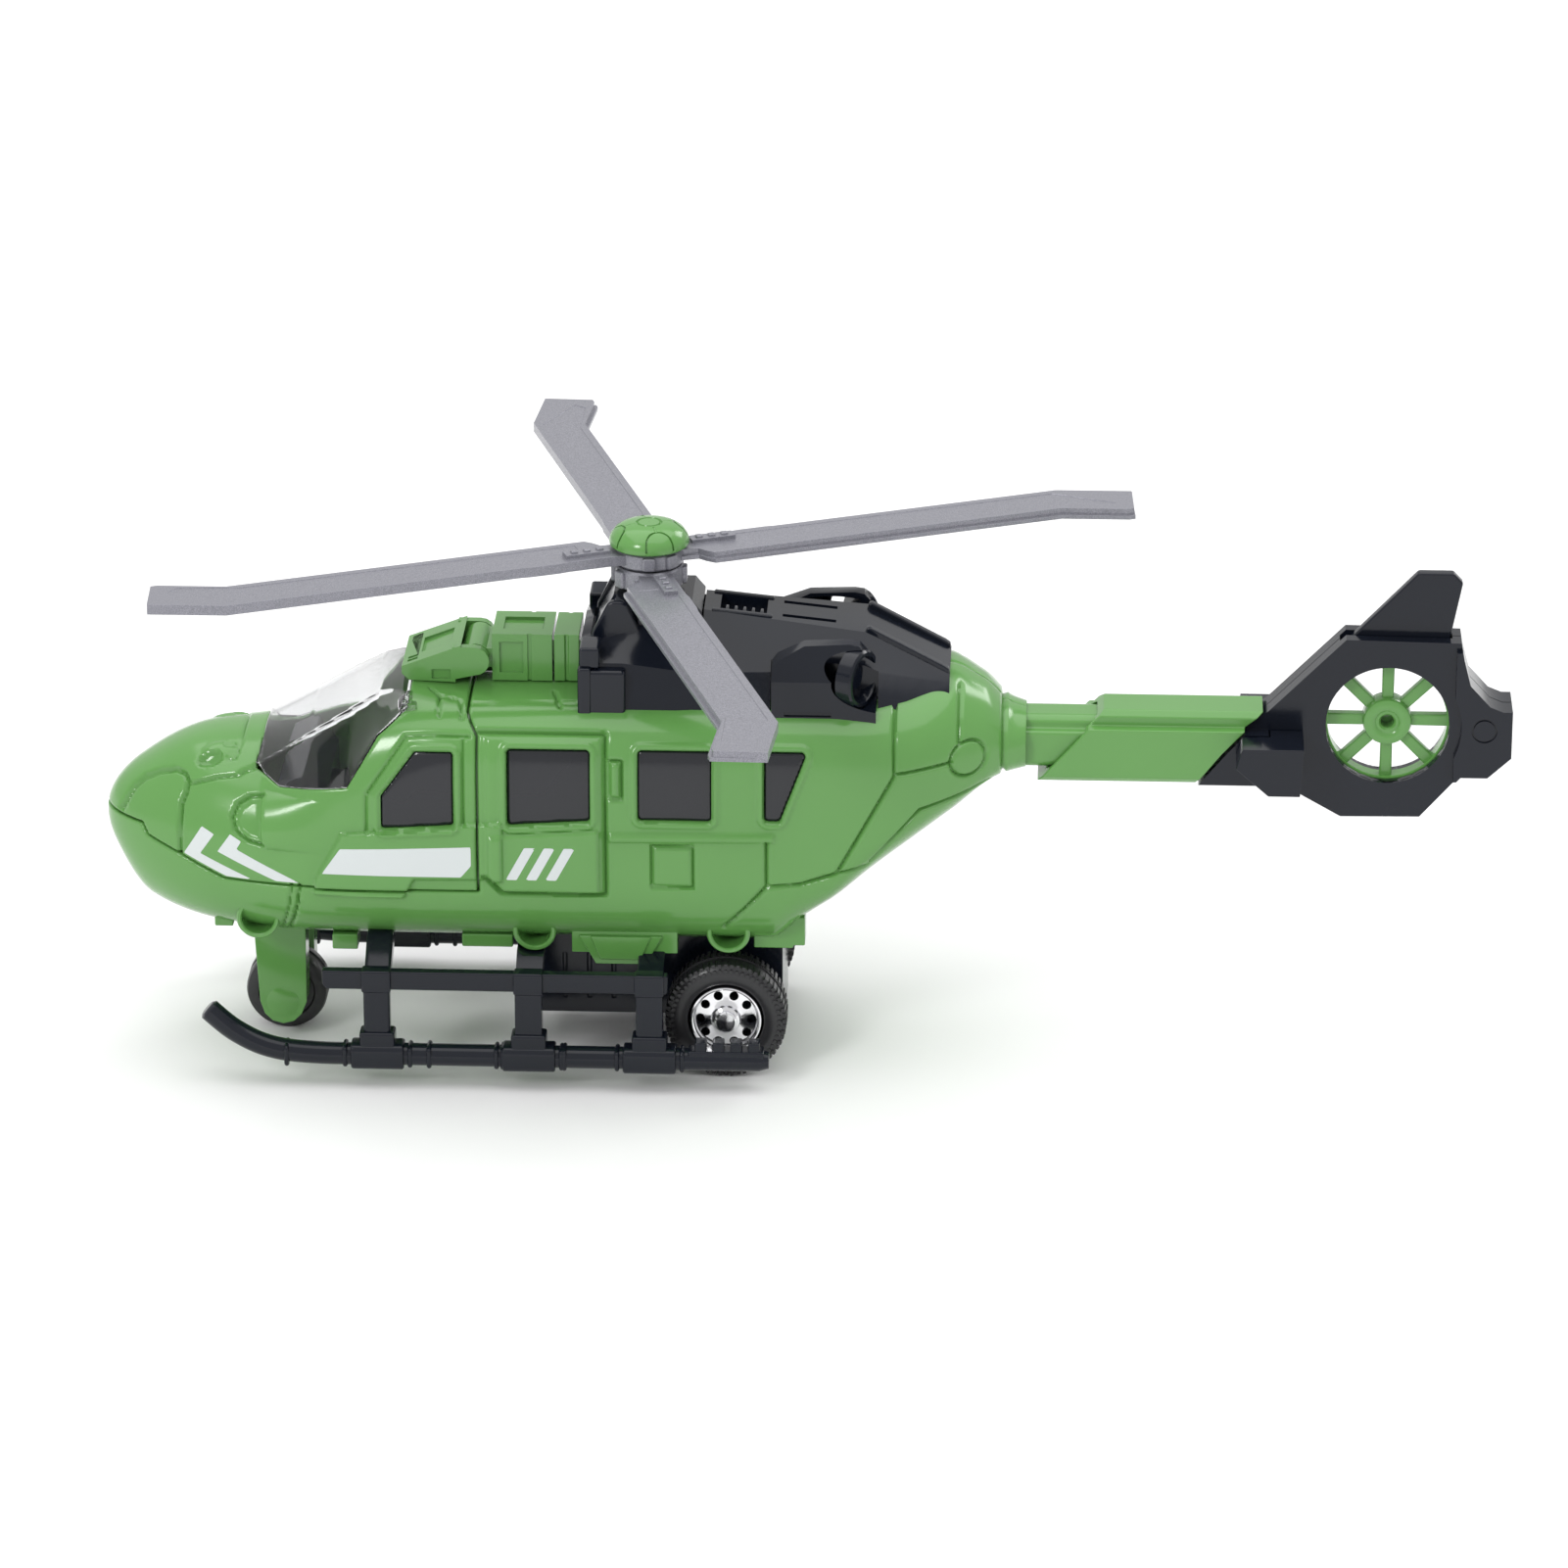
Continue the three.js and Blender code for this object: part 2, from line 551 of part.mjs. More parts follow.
function tailFan() {
  const { x, z, rim, hub, half } = FAN;
  const ring = turnedY([[rim - 1.5, -half], [rim, -half], [rim, half], [rim - 1.5, half],
    [rim - 1.5, -half]], x, z, 24);
  const spokes = [0, 45, 90, 135].map((angle) => (
    block([-rim + 0.8, rim - 0.8], [-1.1, 1.1], [-1.4, 1.4]).rotate([0, angle, 0]).translate([x, 0, z])));
  const centre = turnedY([[0, -2.9], [4, -2.9], [hub, -2.2], [hub, 2.2], [4, 2.9], [0, 2.9]], x, z, 20);
  return cut(joined(ring, ...spokes, centre), barY(1.8, x, z, -10, -1, 16));
}

// ---------------------------------------------------------------- skids and nose leg

function skid() {
  const { y, z, radius, front, rear } = SKID;
  const path = new THREE.CatmullRomCurve3([[front, 16.4], [-114.5, 11.6], [-107.5, 8.2], [-98, z],
    [-80, z], [-40, z], [rear, z]].map(([px, pz]) => new THREE.Vector3(px, -y, pz)));
  const circle = new THREE.Shape().absarc(0, 0, radius, 0, 2 * Math.PI);
  const tube = solid(new THREE.ExtrudeGeometry(circle, { steps: 14, extrudePath: path, curveSegments: 5,
    bevelEnabled: false }));
  const leg = [[-17, 30], [-22, 30], [-30.2, RAIL_Z + 1.6], [-32.6, RAIL_Z - 1.6], [-32.6, z], [-29.4, z],
    [-29.4, RAIL_Z - 1.4], [-28, RAIL_Z - 0.6], [-17, 27.2]];
  const struts = STRUTS.map((x) => crossPlate(leg, x - 3, x + 3));
  const sleeves = STRUTS.map((x) => block([x - 5.4, x + 5.4], [-y - 2.8, -y + 2.8], [z - 2.8, z + 2.8]));
  const collars = STRUTS.map((x) => block([x - 3.6, x + 3.6], [-y - 2.3, -y + 2.3], [z + 2, z + 5.4]));
  const rail = block([-96.5, STRUTS[2] + 4.5], [-32, -29.6], [RAIL_Z - 2, RAIL_Z + 2]);
  const treads = [0, 1, 2, 3].map((i) => block([-21 + 3.6 * i, -18.6 + 3.6 * i], [-y - 1.6, -y + 1.6],
    [z, z + radius + 1.9]));
  return cut(joined(tube, ...struts, ...sleeves, ...collars, rail, ...treads), bellyEnvelope());
}

function noseLeg() {
  const { inner, outer, boss } = NOSE_LEG;
  const { x, radius } = NOSE_WHEEL;
  const blade = sidePlate([[x - 6.3, 34], [x - 4.6, radius], [x - 3.4, radius - 2.6], [x, radius - boss],
    [x + 3.4, radius - 2.6], [x + 4.9, radius], [x + 5.2, 34]], -outer, -inner - GAP);
  return cut(blade, bellyEnvelope(), barY(NOSE_WHEEL.axle + 0.3, x, radius, -9.8, 0, 16));
}

function noseWheel() {
  const { x, radius, half, axle } = NOSE_WHEEL;
  return turnedY([[axle + 0.15, -half], [radius - 1, -half], [radius, -half + 1], [radius, half - 1],
    [radius - 1, half], [axle + 0.15, half], [axle + 0.15, -half]], x, radius, 28);
}

function noseAxle() {
  return barY(NOSE_WHEEL.axle, NOSE_WHEEL.x, NOSE_WHEEL.radius, -9.5, 9.5, 12);
}

// ---------------------------------------------------------------- wheels and friction drive

function tyre() {
  const { radius, inner, outer, rim } = WHEEL;
  const bore = rim + GAP;
  return turnedY([[bore, -outer + 0.6], [bore + 1.4, -outer], [radius - 1.2, -outer], [radius, -outer + 1.4],
    [radius, -inner - 1.4], [radius - 1.2, -inner], [bore, -inner], [bore, -outer + 0.6]],
  WHEEL.x, radius, 28);
}

function rim() {
  const { inner, outer, rim: edge, axle, radius } = WHEEL;
  const body = turnedY([[0, -outer - 0.9], [2.3, -outer - 0.9], [2.6, -outer + 0.6], [4, -outer + 1],
    [6.4, -outer + 1.4], [6.6, -outer + 0.2], [edge, -outer + 0.2], [edge, -inner], [4, -inner],
    [4, -inner - 2.5], [0, -inner - 2.5]], WHEEL.x, radius, 20);
  return cut(body, barY(axle + 0.2, WHEEL.x, radius, -outer + 1.8, 0, 16));
}

function rearAxle() {
  return barY(WHEEL.axle, WHEEL.x, WHEEL.radius, -WHEEL.outer + 2.1, WHEEL.outer - 2.1, 16);
}

// A spur gear about a line along Y, with a tooth pointing at the given angle.
function gear(teeth, x, z, low, high, bore, toothAngle) {
  const pitch = GEAR_MODULE * teeth / 2;
  const root = pitch - 0.95 * GEAR_MODULE;
  const tip = pitch + 0.8 * GEAR_MODULE;
  const step = 2 * Math.PI / teeth;
  const points = [];
  for (let i = 0; i < teeth; i += 1) {
    const middle = toothAngle + i * step;
    for (const [radius, share] of [[root, -0.32], [tip, -0.1], [tip, 0.1], [root, 0.32]]) {
      const angle = middle + share * step;
      points.push([x + radius * Math.cos(angle), z + radius * Math.sin(angle)]);
    }
  }
  return cut(sidePlate(points, low, high), barY(bore, x, z, low - 1, high + 1, 16));
}

const toIdler = Math.atan2(IDLER.z - WHEEL.radius, IDLER.x - WHEEL.x);
const toFlywheel = Math.atan2(FLYWHEEL.z - IDLER.z, FLYWHEEL.x - IDLER.x);
const IDLER_TEETH = { pinion: 8, wheel: 16 };

function axleGear() {
  return gear(16, WHEEL.x, WHEEL.radius, -8, -5, WHEEL.axle + GAP, toIdler);
}

function idlerGear() {
  const { x, z } = IDLER;
  const pinion = gear(IDLER_TEETH.pinion, x, z, -8.2, -3, 1.15, toIdler + Math.PI + Math.PI / 8);
  const wheel = gear(IDLER_TEETH.wheel, x, z, -4, -1, 1.15, toFlywheel);
  return joined(pinion, wheel);
}

function idlerPin() {
  return barY(1, IDLER.x, IDLER.z, -10.6, 10.6, 12);
}

function flywheel() {
  const { x, z, radius } = FLYWHEEL;
  const pinion = gear(8, x, z, -4.2, 1, 0.5, toFlywheel + Math.PI + Math.PI / 8);
  const spindle = barY(0.9, x, z, -10.6, 10.6, 12);
  const disc = barY(radius, x, z, 1, 8, 24);
  return joined(pinion, spindle, disc);
}

function gearboxOutline(grow) {
  const { front, rear, low, sump, sumpFront } = GEARBOX;
  return [[front - grow, low - grow], [sumpFront - 3, low - grow], [sumpFront + 1, sump - grow],
    [rear + grow, sump - grow], [rear + grow, 27], [front - grow, 27]];
}

// The left half of the gearbox housing, open towards the other half.
function gearboxHalf() {
  const { half } = GEARBOX;
  const shell = cut(
    sidePlate(gearboxOutline(0), -half, -GAP / 2),
    sidePlate(gearboxOutline(-1.4).map(([x, z]) => [x, Math.min(z, 23.9)]), -half + 1.4, 10),
  );
  return cut(shell, bellyEnvelope(),
    barY(WHEEL.axle + 0.2, WHEEL.x, WHEEL.radius, -20, 1, 16),
    barY(1.15, IDLER.x, IDLER.z, -10.9, 1, 12),
    barY(1.05, FLYWHEEL.x, FLYWHEEL.z, -10.9, 1, 12));
}

// ---------------------------------------------------------------- the model

const helicopter = new THREE.Group();

function add(name, part, look) {
  const mesh = part.getMesh();
  const geometry = new THREE.BufferGeometry();
  geometry.setAttribute('position', new THREE.BufferAttribute(Float32Array.from(mesh.vertProperties), 3));
  geometry.setIndex(new THREE.BufferAttribute(Uint32Array.from(mesh.triVerts), 1));
  geometry.computeVertexNormals();
  const piece = new THREE.Mesh(geometry, new THREE.MeshStandardMaterial(look));
  piece.name = name;
  helicopter.add(piece);
}

function addPair(name, leftPart, look) {
  add(`${name}_left`, leftPart, look);
  add(`${name}_right`, mirrored(leftPart), look);
}

add('hull_left', hullHalf(true), GREEN);
add('hull_right', mirrored(hullHalf(false)), GREEN);
addPair('cabin_windows', cabinWindows(), TINTED);
['front', 'middle', 'rear'].forEach((place, i) => add(`hull_screw_${place}`, bodyScrew(SCREWS[i]), STEEL));

add('cockpit_shell', cockpitShell(), GREEN);
add('windshield', windshield(), CLEAR);
addPair('door_window', doorWindow(), TINTED);
add('cockpit_interior', cockpitInterior(), BLACK);
add('roof_intake', roofIntake(), GREEN);
add('roof_link_front', roofLinkFront(), GREEN);
add('roof_link_rear', roofLinkRear(), GREEN);
add('cockpit_hinge_pin', barY(HINGE.pin, HINGE.x, HINGE.z, -7.6, 7.6, 12), STEEL);

add('engine_cowl', engineCowl(), BLACK);
addPair('engine_pod', enginePod(), BLACK);
addPair('exhaust', exhaust(), BLACK);
add('mast_support', mastSupport(), BLACK);

add('rotor_shaft', rotorShaft(), STEEL);
add('upper_blades', bladePair(UPPER_Z, UPPER_YAW, 103.2, CAP.low - GAP), SILVER);
add('lower_blades', bladePair(LOWER_Z, LOWER_YAW, 98.6, 102.9), SILVER);
add('rotor_cap', rotorCap(), GREEN);
add('rotor_screw', rotorScrew(), STEEL);

add('tail_boom', tailBoom(), GREEN);
add('tail_sleeve', tailSleeve(), GREEN);
addPair('tail_shroud', tailShroud(), BLACK);
add('tail_fin', tailFin(), BLACK);
addPair('stabilizer', stabilizer(), BLACK);
add('tail_fan', tailFan(), GREEN);

addPair('skid', skid(), BLACK);
addPair('nose_leg', noseLeg(), GREEN);
add('nose_wheel', noseWheel(), RUBBER);
add('nose_axle', noseAxle(), STEEL);

addPair('gearbox', gearboxHalf(), BLACK);
add('rear_axle', rearAxle(), STEEL);
addPair('rear_rim', rim(), CHROME);
addPair('rear_tyre', tyre(), RUBBER);
add('axle_gear', axleGear(), NYLON);
add('idler_gear', idlerGear(), NYLON);
add('idler_pin', idlerPin(), STEEL);
add('flywheel', flywheel(), STEEL);

export default helicopter;
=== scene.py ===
# Toy helicopter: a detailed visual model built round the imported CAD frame.
# Millimetres in the code, metres in Blender. +X runs to the tail, +Z is up, and the side that the
# camera sees is the left side, at negative Y.
import json
import math

import bmesh
import bpy
import numpy as np
from mathutils import Matrix, Vector


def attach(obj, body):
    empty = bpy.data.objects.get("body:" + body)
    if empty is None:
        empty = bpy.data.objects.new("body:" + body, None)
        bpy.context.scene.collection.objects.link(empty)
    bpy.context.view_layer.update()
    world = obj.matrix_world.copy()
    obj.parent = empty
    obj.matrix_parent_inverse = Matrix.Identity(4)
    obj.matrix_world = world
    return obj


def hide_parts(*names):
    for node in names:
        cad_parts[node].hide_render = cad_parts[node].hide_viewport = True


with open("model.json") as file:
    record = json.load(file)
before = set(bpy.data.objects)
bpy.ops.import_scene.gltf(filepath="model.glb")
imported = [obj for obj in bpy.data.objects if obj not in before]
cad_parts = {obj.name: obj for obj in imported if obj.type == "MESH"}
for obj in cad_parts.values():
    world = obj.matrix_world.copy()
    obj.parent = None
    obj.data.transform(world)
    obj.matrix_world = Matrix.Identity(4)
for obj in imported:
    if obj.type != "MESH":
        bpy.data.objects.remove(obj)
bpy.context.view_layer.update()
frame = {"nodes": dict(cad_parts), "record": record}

MM = 0.001


# ---- sizes shared with the CAD

NOSE_X = -143.1
COLLAR_X = 45
SEAM_Z = 41.3
WALL = 1.6
MAST_X = -31.5
FAN = (118, 71.6)
REAR_WHEEL = (-15.1, 12.5)
NOSE_WHEEL = (-107, 8.4)
SCREWS = [(-110.4, 32.2), (-54, 31.1), (-14.6, 31.2)]
STRUTS = [-85.5, -54.7, -30.2]
SKID_Y = 31
SKID_Z = 7
UPPER_YAW = 22.5
LOWER_YAW = 107.5
SIDES = ((-1, "left"), (1, "right"))
FAN_BLADES = 8
RIM_HOLES = 10
TREAD_ROWS = 60

# Small distances of the visual model, in millimetres unless said otherwise.
SEAM_GAP = 0.25             # from each side of a seam to its middle
PANE_GAP = 0.12             # round a pane in its opening
PRINT_HEIGHT = 0.05         # printed marks stand this far above the plastic
PRINT_DEPTH = 0.12          # and reach this far into it
WELD = 2e-6                 # metres: points closer than this are one point
THIN_ABOVE = 20000          # points in a shell before its hidden back is thinned


# ---- materials

class Nodes:
    """Adds shader nodes to one material and links them."""

    def __init__(self, name):
        self.material = bpy.data.materials.new(name + "_look")
        self.material["slot"] = name
        self.material.use_nodes = True
        self.tree = self.material.node_tree
        self.shader = self.tree.nodes["Principled BSDF"]
        self.place = self.tree.nodes.new("ShaderNodeTexCoord").outputs["Object"]

    def add(self, kind, source, socket, output, **values):
        """A node with one socket linked to source and its other numbers set."""
        node = self.tree.nodes.new(kind)
        for name, value in values.items():
            node.inputs[name.replace("_", " ")].default_value = value
        self.tree.links.new(source, node.inputs[socket])
        return node.outputs[output]

    def noise(self, scale, detail=2.0, roughness=0.5):
        return self.add("ShaderNodeTexNoise", self.place, "Vector", "Fac",
                        Scale=scale, Detail=detail, Roughness=roughness)

    def ramp(self, value, stops):
        node = self.tree.nodes.new("ShaderNodeValToRGB")
        elements = node.color_ramp.elements
        for index, (position, colour) in enumerate(stops):
            if index >= len(elements):
                elements.new(position)
            elements[index].position = position
            elements[index].color = (*colour, 1)
        self.tree.links.new(value, node.inputs["Fac"])
        return node.outputs["Color"]

    def spread(self, value, low, high):
        return self.add("ShaderNodeMapRange", value, "Value", "Result", To_Min=low, To_Max=high)

    def bump(self, value, depth):
        normal = self.add("ShaderNodeBump", value, "Height", "Normal", Strength=1.0, Distance=depth)
        self.link(normal, "Normal")

    def link(self, value, name):
        self.tree.links.new(value, self.shader.inputs[name])

    def fixed(self, **values):
        for name, value in values.items():
            self.shader.inputs[name.replace("_", " ")].default_value = value


def shade(colour, factor):
    return tuple(min(1.0, channel * factor) for channel in colour)


def plastic(name, colour, roughness=0.25, drift=0.08, grain=0.00001, coat=0.3, specular=0.5):
    """Moulded plastic: slow colour drift, faint flow marks in the gloss and a fine orange peel."""
    nodes = Nodes(name)
    slow = nodes.noise(14, 3)
    nodes.link(nodes.ramp(slow, [(0.3, shade(colour, 1 - drift)), (0.7, shade(colour, 1 + drift))]),
               "Base Color")
    nodes.link(nodes.spread(nodes.noise(90, 4), roughness * 0.8, roughness * 1.25), "Roughness")
    nodes.bump(nodes.noise(700, 3), grain)
    nodes.fixed(Coat_Weight=coat, Coat_Roughness=0.08, Specular_IOR_Level=specular)
    return nodes.material


def flake_plastic(name, colour):
    """Silver plastic with fine metal flakes in it."""
    nodes = Nodes(name)
    flakes = nodes.noise(5200, 2, 0.7)
    nodes.link(nodes.ramp(flakes, [(0.34, shade(colour, 0.7)), (0.5, colour), (0.66, shade(colour, 1.35))]),
               "Base Color")
    nodes.link(nodes.spread(nodes.noise(1400, 2), 0.3, 0.55), "Roughness")
    nodes.bump(nodes.noise(2200, 2), 0.00002)
    nodes.fixed(Metallic=0.45, Coat_Weight=0.35, Coat_Roughness=0.15)
    return nodes.material


def plated(name, colour, roughness):
    nodes = Nodes(name)
    slow = nodes.noise(120, 3)
    nodes.link(nodes.ramp(slow, [(0.3, shade(colour, 0.9)), (0.7, colour)]), "Base Color")
    nodes.link(nodes.spread(nodes.noise(400, 3), roughness * 0.7, roughness * 1.5), "Roughness")
    nodes.bump(nodes.noise(500, 2), 0.00002)
    nodes.fixed(Metallic=1.0)
    return nodes.material


def clear_plastic(name):
    nodes = Nodes(name)
    nodes.link(nodes.ramp(nodes.noise(20, 2), [(0.3, (0.93, 0.94, 0.95)), (0.7, (0.98, 0.98, 0.98))]),
               "Base Color")
    nodes.link(nodes.spread(nodes.noise(200, 3), 0.01, 0.05), "Roughness")
    nodes.fixed(Transmission_Weight=1.0, IOR=1.45)
    return nodes.material


GREEN = plastic("green_plastic", (0.108, 0.288, 0.068), 0.17, 0.05, coat=0.1)
BLACK = plastic("black_plastic", (0.006, 0.008, 0.014), 0.15, 0.12, coat=0.0, specular=0.35)
SILVER = flake_plastic("silver_plastic", (0.235, 0.235, 0.268))
CHROME = plated("chrome_rim", (0.86, 0.86, 0.88), 0.12)
STEEL = plated("steel", (0.55, 0.55, 0.56), 0.3)
WHEEL_BLACK = plastic("wheel_black", (0.014, 0.014, 0.016), 0.38, 0.15, 0.00004, 0.1)
TINTED = plastic("tinted_window", (0.012, 0.013, 0.017), 0.12, 0.1, coat=0.0)
CLEAR = clear_plastic("clear_window")
NYLON = plastic("white_plastic", (0.72, 0.69, 0.62), 0.4)
INK = plastic("white_ink", (0.60, 0.64, 0.64), 0.35, 0.03, 0.000005, 0.2)


# ---- making pieces

def scene_object(name, mesh):
    made = bpy.data.objects.new(name, mesh)
    bpy.context.scene.collection.objects.link(made)
    return made


def object_from(vertices, faces):
    """An object from vertices in millimetres."""
    mesh = bpy.data.meshes.new("part")
    mesh.from_pydata((np.asarray(vertices, float) * MM).tolist(), [], faces)
    mesh.update()
    return scene_object("part", mesh)


def object_from_bmesh(built):
    mesh = bpy.data.meshes.new("part")
    bmesh.ops.recalc_face_normals(built, faces=built.faces)
    built.to_mesh(mesh)
    built.free()
    return scene_object("part", mesh)


def settle(made):
    """Applies the modifiers on an object."""
    graph = bpy.context.evaluated_depsgraph_get()
    mesh = bpy.data.meshes.new_from_object(made.evaluated_get(graph))
    old = made.data
    made.modifiers.clear()
    made.data = mesh
    bpy.data.meshes.remove(old)
    return made


def drop(made):
    bpy.data.objects.remove(made)


AXES = {
    "X": Matrix(((0, 0, 1), (1, 0, 0), (0, 1, 0))),     # outline in Y and Z, along X
    "Y": Matrix(((1, 0, 0), (0, 0, 1), (0, 1, 0))),     # outline in X and Z, along Y
    "Z": Matrix(((1, 0, 0), (0, 1, 0), (0, 0, 1))),     # outline in X and Y, along Z
}


def prism(points, low, high, axis="Y"):
    """An outline carried from low to high along an axis."""
    turn = AXES[axis]
    built = bmesh.new()
    ring = [[built.verts.new(turn @ Vector((u, v, level)) * MM) for u, v in points] for level in (low, high)]
    built.faces.new(ring[0])
    built.faces.new(ring[1])
    for i in range(len(points)):
        j = (i + 1) % len(points)
        built.faces.new((ring[0][i], ring[0][j], ring[1][j], ring[1][i]))
    return object_from_bmesh(built)


def box(x, y, z):
    """A block from its (low, high) along each axis."""
    return prism([(x[0], z[0]), (x[1], z[0]), (x[1], z[1]), (x[0], z[1])], y[0], y[1])


def circle(radius, u=0.0, v=0.0, sides=48):
    return [(u + radius * math.cos(2 * math.pi * i / sides),
             v + radius * math.sin(2 * math.pi * i / sides)) for i in range(sides)]


def span(side, near, far):
    """The low and high Y of what lies from near to far on one side of the middle."""
    return sorted((side * near, side * far))


def rod(radius, centre, low, high, axis="Y", sides=48):
    return prism(circle(radius, *centre, sides), low, high, axis)


def both_ways(half):
    """A profile of (radius, along) and its mirror image, as one closed profile."""
    return half + [(radius, -along) for radius, along in reversed(half)]


def rod_between(radius, start, end, sides=32):
    start, end = Vector(start), Vector(end)
    made = prism(circle(radius, sides=sides), 0, (end - start).length, "Z")
    turn = Vector((0, 0, 1)).rotation_difference(end - start).to_matrix().to_4x4()
    made.data.transform(Matrix.Translation(start * MM) @ turn)
    return made


def turned(profile, centre=(0, 0), axis="Y", sides=72):
    """A closed profile of (radius, along) turned about an axis through centre."""
    turn = AXES[axis]
    vertices = []
    for i in range(sides):
        angle = 2 * math.pi * i / sides
        for radius, along in profile:
            point = turn @ Vector((centre[0] + radius * math.cos(angle),
                                   centre[1] + radius * math.sin(angle), along))
            vertices.append(tuple(point))
    count = len(profile)
    faces = []
    for i in range(sides):
        here = i * count
        there = (i + 1) % sides * count
        for j in range(count):
            k = (j + 1) % count
            faces.append((here + j, here + k, there + k, there + j))
    made = object_from(vertices, faces)
    return clean(made)


def clean(made):
    """Merges doubled points, drops empty faces and turns the faces outwards."""
    built = bmesh.new()
    built.from_mesh(made.data)
    bmesh.ops.remove_doubles(built, verts=built.verts, dist=WELD)
    bmesh.ops.dissolve_degenerate(built, edges=built.edges, dist=1e-6)
    bmesh.ops.recalc_face_normals(built, faces=built.faces)
    built.to_mesh(made.data)
    built.free()
    return made


def combine(base, others, operation):
    for other in others:
        change = base.modifiers.new("combine", "BOOLEAN")
        change.operation = operation
        change.solver = "MANIFOLD"
        change.object = other
        settle(base)
        drop(other)
    return base


def union(base, *others):
    return combine(base, others, "UNION")


def carve(base, *others):
    return combine(base, others, "DIFFERENCE")


def joined(base, *others):
    """Puts separate closed solids into one object."""
    built = bmesh.new()
    for made in (base, *others):
        built.from_mesh(made.data)
    for made in others:
        drop(made)
    built.to_mesh(base.data)
    built.free()
    return base


def flipped(made):
    """A copy mirrored to the other side of the helicopter."""
    copy = scene_object(made.name + "_copy", made.data.copy())
    copy.data.transform(Matrix.Scale(-1, 4, (0, 1, 0)))
    copy.data.flip_normals()
    return copy


def moved(made, matrix):
    made.data.transform(matrix)
    return made


def spun(made, degrees, centre=(0, 0, 0), axis="Z"):
    """The object turned about an axis through centre, in millimetres."""
    shift = Matrix.Translation(Vector(centre) * MM)
    return moved(made, shift @ Matrix.Rotation(math.radians(degrees), 4, axis) @ shift.inverted())


def set_round(made, degrees, x, z):
    """Turns a part made at the origin about Y, then carries it to a wheel's centre."""
    made = moved(made, Matrix.Rotation(math.radians(degrees), 4, "Y"))
    return moved(made, Matrix.Translation(Vector((x, 0, z)) * MM))


def flattened(made, outwards=False):
    """Joins doubled points and makes one face of the triangles on each flat."""
    built = bmesh.new()
    built.from_mesh(made.data)
    bmesh.ops.remove_doubles(built, verts=built.verts, dist=WELD)
    bmesh.ops.dissolve_limit(built, angle_limit=math.radians(1), verts=built.verts, edges=built.edges)
    if outwards:
        bmesh.ops.recalc_face_normals(built, faces=built.faces)
    built.to_mesh(made.data)
    built.free()


def smooth_edges(made, width, segments=3, angle=28):
    """Rounds the edges of a solid made of flat faces."""
    flattened(made)
    rounding = made.modifiers.new("round", "BEVEL")
    rounding.width = width * MM
    rounding.segments = segments
    rounding.limit_method = "ANGLE"
    rounding.angle_limit = math.radians(angle)
    rounding.use_clamp_overlap = True
    rounding.miter_outer = "MITER_ARC"
    settle(made)
    shade_smooth(made, 50)
    even = made.modifiers.new("normals", "WEIGHTED_NORMAL")
    even.keep_sharp = True
    even.weight = 80
    return settle(made)


def block(x, y, z, width, segments=3):
    """A block with its edges rounded."""
    return smooth_edges(box(x, y, z), width, segments)


def shade_smooth(made, angle=40):
    made.data.shade_smooth()
    made.data.set_sharp_from_angle(angle=math.radians(angle))
    return made


def frame_body(node):
    """The body that a CAD node rides on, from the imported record."""
    for body, nodes in frame["record"]["behaviour"]["bodies"].items():
        if node in nodes:
            return body
    raise KeyError(node)


def piece(made, name, material, node=None, body=None):
    """Names a finished mesh, gives it its finish and its body, and hides the CAD node that it stands for."""
    made.name = name
    made.data.name = name
    made.data.materials.clear()
    made.data.materials.append(material)
    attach(made, body or frame_body(node))
    if node:
        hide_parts(node)
    return made


def both_sides(left, name, material, node):
    """Uses a left-hand mesh, and its mirror image on the right. {} in the names is the side."""
    right = flipped(left)
    for made, side in ((left, "left"), (right, "right")):
        piece(made, name.format(side), material, node.format(side))


def copy_of(node):
    """A copy of a CAD node's solid, with its triangles merged into flat faces."""
    made = scene_object(node + "_look", frame["nodes"][node].data.copy())
    flattened(made, outwards=True)
    for layer in list(made.data.attributes):
        if layer.name == "custom_normal":
            made.data.attributes.remove(layer)
    return made


def refined(node, material, width, extra=None):
    """Stands for a CAD node with the same solid, its edges rounded and details carved by extra."""
    made = copy_of(node)
    if extra:
        made = extra(made)
    return piece(smooth_edges(made, width), node + "_solid", material, node)


# ---- distances on the side of the hull

def line_distance(x, z, points, closed=False):
    """Distance from each (x, z) to a line through points."""
    ends = points[1:] + points[:1] if closed else points[1:]
    best = np.full(x.shape, 1e9)
    for (ax, az), (bx, bz) in zip(points, ends):
        dx, dz = bx - ax, bz - az
        along = ((x - ax) * dx + (z - az) * dz) / max(dx * dx + dz * dz, 1e-9)
        along = np.clip(along, 0, 1)
        best = np.minimum(best, np.hypot(x - ax - along * dx, z - az - along * dz))
    return best


def shape_distance(x, z, points):
    """Distance to a closed outline, negative inside it."""
    inside = np.zeros(x.shape, bool)
    for (ax, az), (bx, bz) in zip(points, points[1:] + points[:1]):
        crosses = (az > z) != (bz > z)
        reach = (bx - ax) * (z - az) / (bz - az if bz != az else 1e-9) + ax
        inside ^= crosses & (x < reach)
    distance = line_distance(x, z, points, closed=True)
    return np.where(inside, -distance, distance)


